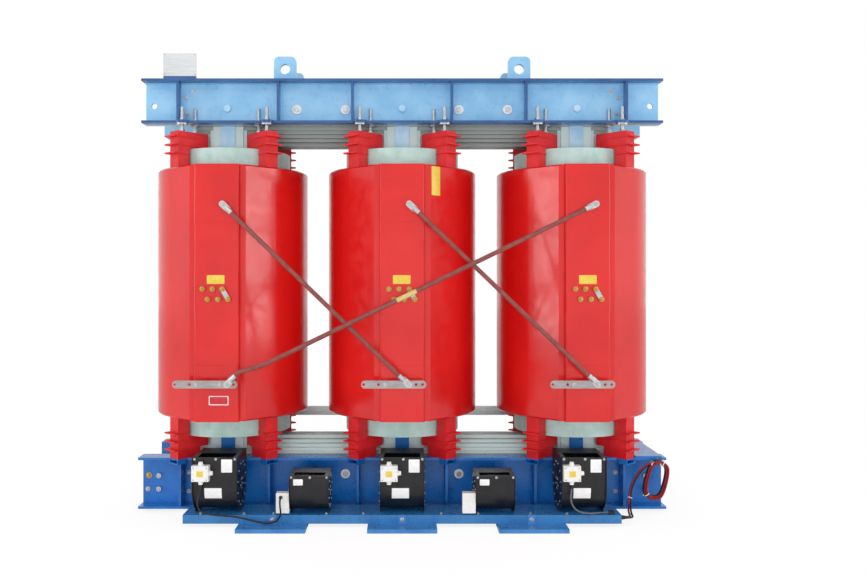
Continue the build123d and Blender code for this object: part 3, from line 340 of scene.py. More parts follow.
# %% Dress the solids
SIDES = ("left", "centre", "right")
WEARS = [
    (RED_RESIN, [f"hv_winding_{side}" for side in SIDES]),
    (GREEN_RESIN, [f"lv_winding_{side}" for side in SIDES]),
    (ROD_SLEEVE, [f"delta_rod_{side}" for side in SIDES]),
    (RED_BLOCKS, ["upper_support_blocks", "lower_support_blocks", "bar_insulators"]),
    # The upper clamps' blue carries a painted reflection on the web.
    (BLUE_WITH_PAINTED_REFLECTION, ["upper_clamp_front", "upper_clamp_rear", "nameplate_bracket"]),
    (DEEP_BLUE, ["lower_clamp_front", "lower_clamp_rear", "cross_plate"]),
    (TIE_BLUE, ["tie_plates", "tie_bolts"]),
    (FOOT_BLUE, ["base_feet"]),
    (RAIL_BLUE, ["fan_rails"]),
    (CORE_STEEL, ["core_limbs", "core_yoke_bottom"]),
    (YOKE_STEEL, ["core_yoke_top"]),
    (PRESSBOARD, ["yoke_insulation"]),
    (ZINC, ["pressure_bolts", "yoke_bolts", "end_studs", "terminal_bolts", "hank_hook"]),
    (BAR_METAL, ["hv_line_bars"]),
    (TIN, ["tap_links", "delta_lugs", "lv_phase_bars", "lv_neutral_bar"]),
    (BRASS, ["tap_studs"]),
    (WHITE_ABS, ["fan_boxes"]),
    (STAINLESS, ["nameplate"]),
    (BLACK_PVC, ["rail_fittings"]),
    (BLACK_COAT, [node for node in NODES if node.endswith("housing") or node.endswith("housings")]),
    (WHEEL_METAL, [node for node in NODES if node.endswith("impeller")]),
]


def dress(node, material):
    solid = NODES[node]
    if not solid.material_slots:
        solid.data.materials.append(material)
    for slot in solid.material_slots:
        slot.material = material


for finish, names in WEARS:
    for node in names:
        dress(node, finish)
print("solids dressed:", sum(len(names) for finish, names in WEARS))

# %% [markdown]
# ## Light and floor
# A soft even sky lights everything, and the camera and the gloss see it as plain white. A key
# light from the front and above gives shape, and a low fill that gloss doesn't mirror opens the
# shade under the windings. A column of four window panes stands at each side, level with the
# front: the resin shoulders mirror it as an upright streak, which is what makes the windings
# look cast and glossy. The floor is pale, and keeps only the shadow of the machine.

# %% Light
def soft_box(name, place, target, width, height, brightness, mirrored=True):
    """An area light whose face is brightness times as bright as white; gloss may be kept from it."""
    data = bpy.data.lights.new(name, "AREA")
    data.shape = "RECTANGLE"
    data.size = width
    data.size_y = height
    data.energy = math.pi * width * height * brightness
    lamp = bpy.data.objects.new(name, data)
    lamp.location = place
    lamp.rotation_euler = (Vector(target) - Vector(place)).to_track_quat("-Z", "Y").to_euler()
    lamp.visible_glossy = mirrored
    bpy.context.scene.collection.objects.link(lamp)


PANES, PANE_START, PANE_STEP = 4, 0.75, 0.62
PANE_WIDTH, PANE_HEIGHT, PANE_BRIGHTNESS = 0.9, 0.52, 5.0
PANE_X, PANE_Y = 4.6, -1.6
for pane in range(PANES):
    height = PANE_START + pane * PANE_STEP
    for side, x in (("left", -PANE_X), ("right", PANE_X)):
        soft_box(f"{side} pane {pane + 1}", (x, PANE_Y, height), (0.0, -0.3, height),
                 PANE_WIDTH, PANE_HEIGHT, PANE_BRIGHTNESS)
soft_box("high key", (-1.6, -5.5, 4.6), (0.0, 0.0, 1.0), 3.0, 2.2, 1.2)
soft_box("low fill", (0.0, -6.5, 0.9), (0.0, 0.0, 0.9), 6.0, 1.6, 4.0, mirrored=False)

SKY_ON_OBJECT = 0.72
world = bpy.data.worlds.new("studio sky")
world.use_nodes = True
bpy.context.scene.world = world
sky = world.node_tree
rays = add_node(sky, "ShaderNodeLightPath").outputs
seen = add_node(sky, "ShaderNodeMath", {"operation": "MAXIMUM"}, {
    0: rays["Is Camera Ray"], 1: rays["Is Glossy Ray"]})
seen = add_node(sky, "ShaderNodeMath", {"operation": "MAXIMUM"}, {
    0: seen.outputs[0], 1: rays["Is Transmission Ray"]})
strength = add_node(sky, "ShaderNodeMapRange", inputs={
    "Value": seen.outputs[0], "To Min": SKY_ON_OBJECT, "To Max": 1.0})
sky.links.new(strength.outputs["Result"], sky.nodes["Background"].inputs["Strength"])
sky.nodes["Background"].inputs["Color"].default_value = linear("#FFFFFF")


GLOW_SHARE, GLOW_STRENGTH = 0.8, 1.07


def pale_floor():
    """A matt floor that lifts itself towards white for the camera, so that only shadow shows."""
    material, tree, shader, place = start_finish("pale studio floor", {
        "Roughness": 0.9, "Specular IOR Level": 0.0})
    feed(tree, shader, between(tree, grain(tree, place, 0.8), "#FAFAF9", "#FCFCFB"))
    glow = add_node(tree, "ShaderNodeEmission", inputs={
        "Color": linear("#FFFFFF"), "Strength": GLOW_STRENGTH})
    camera_ray = add_node(tree, "ShaderNodeLightPath").outputs["Is Camera Ray"]
    share = add_node(tree, "ShaderNodeMath", {"operation": "MULTIPLY"}, {0: camera_ray, 1: GLOW_SHARE})
    mix = add_node(tree, "ShaderNodeMixShader", inputs={
        0: share.outputs[0], 1: shader.outputs["BSDF"], 2: glow.outputs["Emission"]})
    tree.links.new(mix.outputs[0], tree.nodes["Material Output"].inputs["Surface"])
    return material


FLOOR_HALF = 24.0
floor_mesh = bpy.data.meshes.new("floor")
floor_corners = [(x * FLOOR_HALF, y * FLOOR_HALF, 0.0) for x, y in ((-1, -1), (1, -1), (1, 1), (-1, 1))]
floor_mesh.from_pydata(floor_corners, [], [(0, 1, 2, 3)])
floor_mesh.materials.append(pale_floor())
floor = bpy.data.objects.new("floor", floor_mesh)
bpy.context.scene.collection.objects.link(floor)
print("lights:", len(bpy.data.lights))

# %% [markdown]
# ## The free cables
# The large blower at each end has a lead from its terminal box, and two supply leads come out of the
# rail's end and hang in a tied hank, left for the installer. A cable hangs in easy bends that no
# rule gives, so each route is a short list of given points, in millimetres.

# %% Cable routes
LEAD_DIAMETER = 8 * MM
SUPPLY_DIAMETER = 9 * MM
FAN_LEAD_LEFT = [
    (-920, -517.5, 202.5), (-920, -517.5, 176), (-928, -523, 148), (-934, -528, 119), (-927, -530, 92),
    (-903, -530, 75), (-866, -529, 67), (-818, -528, 63), (-765, -526, 58), (-712, -525, 47),
    (-663, -525, 34), (-617, -527, 27), (-581, -532, 33), (-558, -539, 54), (-550, -546, 79),
    (-552, -550, 102), (-554, -547.5, 117), (-556, -539, 129.5), (-556, -526.5, 138), (-556, -512, 141),
    (-556, -508, 141),
]
FAN_LEAD_RIGHT = [
    (774, -517.5, 202.5), (774, -517.5, 176), (768, -525, 149), (770, -530, 120), (785, -529, 94),
    (813, -523, 77), (848, -511, 69), (887, -498, 66), (922, -485, 66), (950, -485, 66),
]
BLACK_ROUTE = [
    (1015, -480, 40), (1032, -480, 40), (1048, -477, 39.5), (1062, -468, 38.5), (1071, -452, 37),
    (1075, -432, 36), (1080, -396, 36), (1089, -352, 38), (1098, -312, 44), (1106, -282, 62),
    (1112, -266, 92), (1118, -264, 124), (1130, -264, 156), (1150, -265, 190), (1173, -266, 220),
    (1200, -267, 244),
]
RED_ROUTE = [
    (1015, -465, 40), (1029, -465, 40), (1042, -462, 39.5), (1054, -453, 38.5), (1062, -438, 37),
    (1066, -418, 36), (1071, -384, 36), (1079, -346, 37), (1088, -314, 45), (1095, -292, 65),
    (1101, -279, 96), (1107, -278, 129), (1119, -279, 162), (1139, -281, 197), (1163, -285, 227),
    (1192, -288, 249),
]
print("route points:", [len(route) for route in (FAN_LEAD_LEFT, FAN_LEAD_RIGHT, BLACK_ROUTE, RED_ROUTE)])

# %% [markdown]
# ## The hank
# The installer's spare length is wound over a hand and hung up, so it forms a long loop with two
# straight runs and two round folds. The folds stay wider than three cable diameters, as a PVC
# cable springs back from anything tighter. Each turn lies a quarter further round the bundle
# than the one before, which keeps the strands side by side.

# %% The hank's turns
HANK_X, HANK_Z = 1231, 166
HANK_CENTRES = {"black": (HANK_X, -267, HANK_Z), "red": (HANK_X, -289, HANK_Z)}
HANK_HALF_WIDTH = 46
HANK_HALF_RUN = 42
HANK_TILT = math.radians(14)
FOLD_SHARPNESS = 2.2
STRAND_OFFSET = 6.4
TURNS = 3.85
POINTS_A_TURN = 20


def loop_place(angle, out):
    """A place round the long loop, across and upward from its middle, out beyond its middle line."""
    radius = HANK_HALF_WIDTH + out
    x = radius * math.sin(angle)
    run = max(-1.0, min(1.0, FOLD_SHARPNESS * math.cos(angle)))
    z = radius * math.cos(angle) + HANK_HALF_RUN * run
    across = x * math.cos(HANK_TILT) + z * math.sin(HANK_TILT)
    upward = z * math.cos(HANK_TILT) - x * math.sin(HANK_TILT)
    return across, upward


def hank_turns(centre):
    """Points of the wound turns: a tilted long loop whose offset creeps round the bundle."""
    points = []
    for step in range(int(TURNS * POINTS_A_TURN) + 1):
        turns = step / POINTS_A_TURN
        angle = 2 * math.pi * turns
        creep = math.pi / 2 * turns + math.pi / 4
        across, upward = loop_place(angle, STRAND_OFFSET * math.cos(creep))
        points.append((centre[0] + across, centre[1] - STRAND_OFFSET * math.sin(creep), centre[2] + upward))
    return points


strands = {colour: hank_turns(centre) for colour, centre in HANK_CENTRES.items()}
print("hank points:", {colour: len(points) for colour, points in strands.items()})

# %% [markdown]
# ## Cables as curves
# A cable is stiff and round. A NURBS curve suits it: the curve stays smooth between its control
# points, and its bevel gives the thickness. The length is measured along the bare curve, because
# a cord's length is a fact about the real cable.

# %% Cable curves
def cable(name, points, diameter, material):
    """One smooth open spline with the chosen points, in millimetres, as its control points."""
    curve = bpy.data.curves.new(name, "CURVE")
    curve.dimensions = "3D"
    curve.bevel_depth = diameter / 2
    curve.bevel_resolution = 4
    curve.use_fill_caps = True
    curve.resolution_u = 6
    spline = curve.splines.new("NURBS")
    spline.points.add(len(points) - 1)
    for control, point in zip(spline.points, points):
        control.co = (*(Vector(point) * MM), 1.0)
    spline.order_u = 3
    spline.use_endpoint_u = True
    curve.materials.append(material)
    piece = bpy.data.objects.new(name, curve)
    bpy.context.scene.collection.objects.link(piece)
    return piece


def line_of(piece):
    """The points along a cable's own line, read from its spline without the bevel."""
    bare = piece.data.copy()
    bare.bevel_depth = 0.0
    probe = bpy.data.objects.new("probe", bare)
    bpy.context.scene.collection.objects.link(probe)
    mesh = bpy.data.meshes.new_from_object(probe.evaluated_get(bpy.context.evaluated_depsgraph_get()))
    points = [vertex.co.copy() for vertex in mesh.vertices]
    bpy.data.objects.remove(probe)
    bpy.data.meshes.remove(mesh)
    bpy.data.curves.remove(bare)
    return points


def length_of(points):
    return sum((there - here).length for here, there in zip(points, points[1:]))


lead_left = cable("blower_lead_left", FAN_LEAD_LEFT, LEAD_DIAMETER, BLACK_PVC)
lead_right = cable("blower_lead_right", FAN_LEAD_RIGHT, LEAD_DIAMETER, GREY_PVC)
supply_black = cable("supply_cable_black", BLACK_ROUTE + strands["black"], SUPPLY_DIAMETER, BLACK_PVC)
supply_red = cable("supply_cable_red", RED_ROUTE + strands["red"], SUPPLY_DIAMETER, MAROON_PVC)
for lead in (lead_left, lead_right, supply_black, supply_red):
    print(lead.name, "is", round(length_of(line_of(lead)), 3), "m long")

# %% [markdown]
# ## Keeping a piece
# Every piece ends the same way: it rides on the body that carries it and keeps its finish in a
# material slot, so that it moves with that body and can be refinished later. Turned small
# parts, such as ferrules and cable boots, are a profile spun round the line that they sit on.

# %% Keep, and spin a profile
def keep(piece, body=BODY):
    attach(piece, body)
    return piece


def piece_from(name, mesh, material, body=BODY):
    mesh.materials.clear()
    mesh.materials.append(material)
    piece = bpy.data.objects.new(name, mesh)
    bpy.context.scene.collection.objects.link(piece)
    return keep(piece, body)


def stand(place, along):
    """The matrix that puts a shape drawn up Z at a place, looking along a direction."""
    turn = Vector(along).to_track_quat("Z", "Y").to_matrix().to_4x4()
    return Matrix.Translation(Vector(place)) @ turn


def spun(bm, profile, matrix, steps=20):
    """Adds a closed turned solid to bm: profile lists (radius, height) from one pole to the other."""
    rings = []
    for radius, height in profile:
        if radius == 0:
            rings.append([bm.verts.new(matrix @ Vector((0, 0, height)))])
            continue
        ring = []
        for step in range(steps):
            angle = 2 * math.pi * step / steps
            corner = Vector((radius * math.cos(angle), radius * math.sin(angle), height))
            ring.append(bm.verts.new(matrix @ corner))
        rings.append(ring)
    for low, high in zip(rings, rings[1:]):
        for step in range(steps):
            after = (step + 1) % steps
            corners = [low[step % len(low)], low[after % len(low)],
                       high[after % len(high)], high[step % len(high)]]
            bm.faces.new(list(dict.fromkeys(corners)))


def mesh_of(name, bm, smooth_angle=35):
    """Turns bm into a mesh with outward faces and its curved parts shaded smooth."""
    bmesh.ops.recalc_face_normals(bm, faces=bm.faces)
    sharp = math.radians(smooth_angle)
    for face in bm.faces:
        face.smooth = True
    for edge in bm.edges:
        edge.smooth = len(edge.link_faces) == 2 and edge.calc_face_angle(0.0) < sharp
    mesh = bpy.data.meshes.new(name)
    bm.to_mesh(mesh)
    bm.free()
    return mesh


# %% [markdown]
# ## Boots, ferrules and what the cables replace
# A short tapered rubber boot supports each cable where it leaves its gland, so that it doesn't
# kink there. The supply leads end in a crimped tin ferrule. The CAD tubes and hanks stay for
# the simulation, and the curves stand in for them to the eye.

# %% Boots and ferrules
BOOT = [(0, 0), (8.6, 0), (8.6, 3), (7.0, 4), (6.4, 10), (5.6, 18), (4.2, 19), (0, 19)]


def boots():
    bm = bmesh.new()
    exits = [(FAN_LEAD_LEFT[0], (0, 0, -1)), (FAN_LEAD_LEFT[-1], (0, -1, 0)),
             (FAN_LEAD_RIGHT[0], (0, 0, -1)), (BLACK_ROUTE[0], (1, 0, 0)), (RED_ROUTE[0], (1, 0, 0))]
    for place, along in exits:
        spun(bm, [(radius * MM, height * MM) for radius, height in BOOT], stand(Vector(place) * MM, along))
    return piece_from("cable_boots", mesh_of("cable_boots", bm), BLACK_PVC)


def ferrule(name, lead):
    points = line_of(lead)
    along = points[-1] - points[-2]
    collar = SUPPLY_DIAMETER / 2 * 1.08
    tube = collar * 0.55
    profile = [(0, -0.006), (collar, -0.006), (collar, 0.004), (tube, 0.006), (tube, 0.014), (0, 0.014)]
    bm = bmesh.new()
    spun(bm, profile, stand(points[-1], along))
    return piece_from(name, mesh_of(name, bm), TIN)


boots()
black_end = ferrule("ferrule_black", supply_black)
red_end = ferrule("ferrule_red", supply_red)

keep(lead_left)
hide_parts("fan_lead_left")
keep(lead_right)
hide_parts("fan_lead_right")
keep(supply_black)
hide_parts("supply_lead_black", "supply_hank_black")
keep(supply_red)
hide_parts("supply_lead_red", "supply_hank_red")

# %% [markdown]
# ## Screws and nuts from one tree
# A transformer is held together by hundreds of small fasteners, and they are all a head on a
# washer. Geometry Nodes suit that: one tree builds the head once, with its sizes as named
# inputs, and sets a copy on every point that it is given. A six-sided head is a nut or a bolt,
# a sixteen-sided one with a washer as wide as itself is a rivet or a pan-head screw. The tree
# ends by turning the copies into real faces with the right material.

# %% Helpers for trees
def start_tree(title, sizes):
    """A node group that takes points or lines, a material and the named sizes."""
    tree = bpy.data.node_groups.new(title, "GeometryNodeTree")
    tree.interface.new_socket("Geometry", in_out="INPUT", socket_type="NodeSocketGeometry")
    tree.interface.new_socket("Geometry", in_out="OUTPUT", socket_type="NodeSocketGeometry")
    tree.interface.new_socket("Material", in_out="INPUT", socket_type="NodeSocketMaterial")
    for size, kind in sizes.items():
        tree.interface.new_socket(size, in_out="INPUT", socket_type=kind)
    return tree, add_node(tree, "NodeGroupInput").outputs


def close_tree(tree, given, copies):
    """Copies become real faces, shaded flat at their corners, in the given material."""
    real = add_node(tree, "GeometryNodeRealizeInstances", inputs={"Geometry": copies})
    coat = add_node(tree, "GeometryNodeSetMaterial", inputs={
        "Geometry": real.outputs["Geometry"], "Material": given["Material"]})
    add_node(tree, "NodeGroupOutput", inputs={"Geometry": coat.outputs["Geometry"]})


def moved_up(tree, geometry, height):
    offset = add_node(tree, "ShaderNodeCombineXYZ", inputs={"Z": height})
    lifted = add_node(tree, "GeometryNodeTransform", inputs={
        "Geometry": geometry, "Translation": offset.outputs["Vector"]})
    return lifted.outputs["Geometry"]


def calculated(tree, operation, first, second):
    return add_node(tree, "ShaderNodeMath", {"operation": operation}, {0: first, 1: second}).outputs[0]


# %% [markdown]
# ## The fastener itself
# From the surface outwards, a fastener is a round washer, the flats of the head and a small
# chamfer on top, which is what catches the light on a real bolt. The washer, the flats and the
# chamfer are a cylinder, a cylinder and a cone, stacked by heights that the tree works out from
# its own inputs, so any size of fastener stays in one piece.

# %% The fastener tree
def fastener_tree():
    tree, given = start_tree("fastener", {
        "Sides": "NodeSocketInt", "Head radius": "NodeSocketFloat", "Head height": "NodeSocketFloat",
        "Washer radius": "NodeSocketFloat", "Washer height": "NodeSocketFloat", "Turn": "NodeSocketVector"})
    washer = add_node(tree, "GeometryNodeMeshCylinder", inputs={
        "Vertices": 20, "Radius": given["Washer radius"], "Depth": given["Washer height"]})
    washer_middle = calculated(tree, "MULTIPLY", given["Washer height"], 0.5)
    washer_up = moved_up(tree, washer.outputs["Mesh"], washer_middle)
    shank_height = calculated(tree, "MULTIPLY", given["Head height"], 0.8)
    shank = add_node(tree, "GeometryNodeMeshCylinder", inputs={
        "Vertices": given["Sides"], "Radius": given["Head radius"], "Depth": shank_height})
    shank_middle = calculated(tree, "MULTIPLY_ADD", shank_height, 0.5)
    shank_middle.node.inputs[2].default_value = 0.0
    tree.links.new(given["Washer height"], shank_middle.node.inputs[2])
    crown_height = calculated(tree, "MULTIPLY", given["Head height"], 0.2)
    crown = add_node(tree, "GeometryNodeMeshCone", inputs={
        "Vertices": given["Sides"], "Radius Bottom": given["Head radius"],
        "Radius Top": calculated(tree, "MULTIPLY", given["Head radius"], 0.8), "Depth": crown_height})
    crown_low = calculated(tree, "ADD", given["Washer height"], shank_height)
    head = add_node(tree, "GeometryNodeJoinGeometry")
    for part in (washer_up, moved_up(tree, shank.outputs["Mesh"], shank_middle),
                 moved_up(tree, crown.outputs["Mesh"], crown_low)):
        tree.links.new(part, head.inputs["Geometry"])
    copies = add_node(tree, "GeometryNodeInstanceOnPoints", inputs={
        "Points": given["Geometry"], "Instance": head.outputs["Geometry"], "Rotation": given["Turn"]})
    close_tree(tree, given, copies.outputs["Instances"])
    return tree


def grow(name, tree, points, material, sizes, edges=(), body=BODY):
    """Runs a tree on points or lines, in metres, and keeps the result as a plain mesh."""
    seed_mesh = bpy.data.meshes.new(name + "_seed")
    seed_mesh.from_pydata([tuple(point) for point in points], list(edges), [])
    seed = bpy.data.objects.new(name + "_seed", seed_mesh)
    bpy.context.scene.collection.objects.link(seed)
    modifier = seed.modifiers.new(tree.name, "NODES")
    modifier.node_group = tree
    sockets = {item.name: item.identifier for item in tree.interface.items_tree if item.in_out == "INPUT"}
    modifier[sockets["Material"]] = material
    for size, value in sizes.items():
        modifier[sockets[size]] = value
    grown = bpy.data.meshes.new_from_object(seed.evaluated_get(bpy.context.evaluated_depsgraph_get()))
    bpy.data.objects.remove(seed)
    bpy.data.meshes.remove(seed_mesh)
    print(name, "has", len(grown.polygons), "faces")
    return piece_from(name, grown, material, body)


FASTENER = fastener_tree()
TO_FRONT = (math.radians(90), 0.0, 0.0)
TO_REAR = (math.radians(-90), 0.0, 0.0)
TO_RIGHT = (0.0, math.radians(90), 0.0)
TO_LEFT = (0.0, math.radians(-90), 0.0)
UPWARD = (0.0, 0.0, 0.0)


def fasteners(name, points, turn, head, washer, material=ZINC, sides=6, body=BODY):
    """Heads at points given in millimetres; head and washer are (radius, height), washer may be flat."""
    return grow(name, FASTENER, [Vector(point) * MM for point in points], material, {
        "Sides": sides, "Head radius": head[0] * MM, "Head height": head[1] * MM,
        "Washer radius": washer[0] * MM, "Washer height": washer[1] * MM, "Turn": turn}, body=body)


# %% [markdown]
# ## Screws on the blowers
# Each blower's side plates are screwed to the drum in a ring, with a smaller ring round the
# bearing, and three bolts hold the outlet's front edge. Each ring stands round the middle of the
# blower's own wheel, so it follows the solid.

# %% Screws on the blowers
BIG_FANS = [("fan_front_" + side, False) for side in SIDES] + [("fan_rear_" + side, True) for side in SIDES]
SMALL_FANS = [("small_fan_left", False), ("small_fan_right", False)]
BIG_RADIUS, SMALL_RADIUS = 112, 85
BIG_WIDTH, SMALL_WIDTH = 206, 182
RAIL_FRONT = 500
RAIL_TOP = 58
FAN_RIM = 10
ROOF_RISE = {BIG_RADIUS: 141, SMALL_RADIUS: 84}


def fan_axis(name, radius, at_rear):
    """The middle of a blower's wheel, in millimetres; the wheel's own box gives its x."""
    low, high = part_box(name + "_impeller")
    y = -RAIL_FRONT + radius
    return Vector(((low.x + high.x) / 2 / MM, -y if at_rear else y, RAIL_TOP + radius + FAN_RIM))


def ring(centre, radius, count, x):
    """Points in a ring on a side plate, the plate's face at x from the fan's middle."""
    angles = [2 * math.pi * (step + 0.5) / count for step in range(count)]
    return [centre + Vector((x, radius * math.sin(angle), radius * math.cos(angle))) for angle in angles]


RIM_RING, RIM_SCREWS = 0.88, 12
BEARING_RING, BEARING_SCREWS = 0.22, 5
EDGE_SHARES = (-0.9, 0.05, 0.9)
EDGE_DROP = 7


def blower_screws():
    right, left, edge = [], [], []
    for fans, radius, width in ((BIG_FANS, BIG_RADIUS, BIG_WIDTH), (SMALL_FANS, SMALL_RADIUS, SMALL_WIDTH)):
        for name, at_rear in fans:
            centre = fan_axis(name, radius, at_rear)
            for reach, count in ((RIM_RING * radius, RIM_SCREWS), (BEARING_RING * radius, BEARING_SCREWS)):
                right += ring(centre, reach, count, width / 2)
                left += ring(centre, reach, count, -width / 2)
            if not at_rear:
                roof = centre.z + ROOF_RISE[radius]
                for share in EDGE_SHARES:
                    edge.append((centre.x + share * width / 2, -RAIL_FRONT, roof - EDGE_DROP))
    return right, left, edge


right_points, left_points, edge_points = blower_screws()
fasteners("blower_screws_right", right_points, TO_RIGHT, (4.2, 3.0), (5.2, 0.8), sides=12)
fasteners("blower_screws_left", left_points, TO_LEFT, (4.2, 3.0), (5.2, 0.8), sides=12)
fasteners("blower_edge_bolts", edge_points, TO_FRONT, (4.6, 4.0), (6.2, 1.0))

# %% [markdown]
# ## Bolts on the clamps and rails
# The clamps carry more than the through bolts: earthing and lifting points at their ends, and
# small screws beside the ribs. Insulated through bolts show a white pressed washer under the
# zinc one. Rails are bolted to the feet, and a bolt closes each foot's tab.

# %% Bolts on clamps, taps and rails
COIL_X = [sum(corner.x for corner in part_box("hv_winding_" + side)) / 2 / MM for side in SIDES]
WEB_FACE = 166.97
WASHER_FACE = WEB_FACE + 6
YOKE_BOLT_X = (-524, -282, 282, 524)
LOW_BOLT_Z, HIGH_BOLT_Z = 172.5, 1983.5
CLAMP_SCREWS = [(-1063, 178), (-1063, 84), (1063, 178), (1063, 84), (-1041, 2075), (1041, 2075),
                (-1076, 2041), (1076, 2041), (-1070, 1962), (1070, 1962), (-1055, 1925), (1055, 1925)]
RAIL_BOLT_X = (-930, -730, -593, -350, -180, 180, 350, 593, 760, 880)
TAPS = [(-62, 1094), (-15, 1094), (32, 1094), (-38, 1046), (11, 1046), (59, 1046)]
TAP_FACE = 437
LINK_THICKNESS = 5


def on_both_sides(name, places, face, head, washer, material=ZINC, sides=6):
    """The same fasteners on the front and, mirrored, on the rear; places are (x, z)."""
    for end, direction, turn in (("_front", -1, TO_FRONT), ("_rear", 1, TO_REAR)):
        points = [(x, direction * face, z) for x, z in places]
        fasteners(name + end, points, turn, head, washer, material, sides)


bolt_rows = [(x, z) for x in YOKE_BOLT_X for z in (LOW_BOLT_Z, HIGH_BOLT_Z)]
on_both_sides("insulating_washers", bolt_rows, WASHER_FACE, (15.5, 1.2), (23, 1.2),
              WHITE_NYLON, 20)
on_both_sides("clamp_screws", CLAMP_SCREWS, WEB_FACE, (7.5, 5.5), (11, 1.6))
fasteners("earth_disc", [(-1261, -WEB_FACE, 164)], TO_FRONT, (8, 6), (15, 2), BRASS, 16)
fasteners("earth_ring", [(-1267, -WEB_FACE, 96)], TO_FRONT, (6, 5), (12, 1.5))
fasteners("rail_bolts", [(x, -RAIL_FRONT + 26, RAIL_TOP) for x in RAIL_BOLT_X], UPWARD, (6.5, 5), (10, 1.6))
fasteners("tab_bolts", [(x, -RAIL_FRONT - 6, 39) for x in (-593, 0, 593)], TO_FRONT, (8, 6), (11, 1.6))
brass_nuts = [(coil + x, -TAP_FACE - (LINK_THICKNESS if (x, z) in (TAPS[2], TAPS[5]) else 0), z)
              for coil in COIL_X for x, z in TAPS]
fasteners("tap_nuts", brass_nuts, TO_FRONT, (10.5, 6), (12.5, 1.2), BRASS)

# %% [markdown]
# ## Labels
# Stuck labels are thin vinyl with rounded corners. The words and signs are left off, so each is
# a plain field of its own colour. A label is made as a rounded outline raised in two steps, so
# that its edge is slightly bevelled and casts a fine line of shade.

# %% Plates with rounded corners
LABEL_THICKNESS = 0.5
LABEL_STRIPS = 12


def rounded_outline(width, height, corner, steps=4):
    """Corner points of a rounded rectangle round the origin, in order."""
    points = []
    for quarter, (sx, sy) in enumerate(((1, 1), (-1, 1), (-1, -1), (1, -1))):
        for step in range(steps + 1):
            angle = math.pi / 2 * (quarter + step / steps)
            points.append((sx * (width / 2 - corner) + corner * math.cos(angle),
                           sy * (height / 2 - corner) + corner * math.sin(angle)))
    return points


def flat_plate(bm, width, height, corner, thickness, matrix):
    """A rounded plate whose back lies on the matrix's XY plane and whose face looks up its Z."""
    outline = rounded_outline(width, height, corner)
    loops = []
    for grow_by, level in ((0.0, 0.0), (0.0, thickness * 0.7), (-min(0.3, corner * 0.4), thickness)):
        scale_x, scale_y = 1 + 2 * grow_by / width, 1 + 2 * grow_by / height
        places = [Vector((x * scale_x, y * scale_y, level)) * MM for x, y in outline]
        loops.append([bm.verts.new(matrix @ place) for place in places])
    count = len(outline)
    for low, high in zip(loops, loops[1:]):
        for step in range(count):
            bm.faces.new([low[step], low[(step + 1) % count], high[(step + 1) % count], high[step]])
    bm.faces.new(loops[-1])
    bm.faces.new(loops[0][::-1])


def facing(place, outward):
    """The matrix of a plate at a place in millimetres, its face turned outward, its top up."""
    look = Vector(outward).normalized()
    up = Vector((0, 0, 1))
    side = up.cross(look).normalized()
    turn = Matrix((side, look.cross(side), look)).transposed().to_4x4()
    return Matrix.Translation(Vector(place) * MM) @ turn


def plates(name, material, items, thickness=LABEL_THICKNESS):
    """Plates joined in one piece: each item is its place, outward direction, width, height, corner."""
    bm = bmesh.new()
    for place, outward, width, height, corner in items:
        flat_plate(bm, width, height, corner, thickness, facing(place, outward))
    return piece_from(name, mesh_of(name, bm, 50), material)


# %% [markdown]
# ## Where the labels go
# The windings carry a tap label above the studs, a tag on the middle winding's right shoulder and
# a small framed label low on the left one. Each blower has a type label on its flat face.

# %% Flat labels
FRONT = (0, -1, 0)
ZONE_FACE = 425
SHOULDER = math.radians(43)
SHOULDER_OUT = (math.sin(SHOULDER), -math.cos(SHOULDER), 0)
CENTRE_TAG = (COIL_X[1] + 160, -393 + (160 - 132.9) * math.tan(SHOULDER), 1606)
FAN_X = {name: fan_axis(name, BIG_RADIUS, at_rear).x for name, at_rear in BIG_FANS}
FAN_X.update({name: fan_axis(name, SMALL_RADIUS, at_rear).x for name, at_rear in SMALL_FANS})
BIG_FRONT = [name for name, at_rear in BIG_FANS if not at_rear]

plates("tap_labels", YELLOW_VINYL,
       [((x - 2, -ZONE_FACE, 1138), FRONT, 82, 41, 3) for x in COIL_X])
plates("winding_tag", YELLOW_VINYL, [(CENTRE_TAG, SHOULDER_OUT, 57, 137, 3)])
plates("framed_label", WHITE_VINYL,
       [((COIL_X[0] + 12, -ZONE_FACE, 572), FRONT, 92, 43, 3)])
plates("framed_label_field", RED_VINYL,
       [((COIL_X[0] + 12, -ZONE_FACE - LABEL_THICKNESS, 572), FRONT, 84, 35, 2)], 0.3)
plates("blower_type_labels", WHITE_VINYL,
       [((FAN_X[name] + 55, -RAIL_FRONT, 283), FRONT, 50, 60, 3) for name in BIG_FRONT]
       + [((FAN_X[name] - 50, -RAIL_FRONT, 208), FRONT, 44, 28, 3) for name, at_rear in SMALL_FANS])


# %% [markdown]
# ## Labels on the drums
# Each large blower has one label where its drum starts to curve under. Straight strips 4 mm high
# follow the curve closely enough that the label's shine bends with the drum.

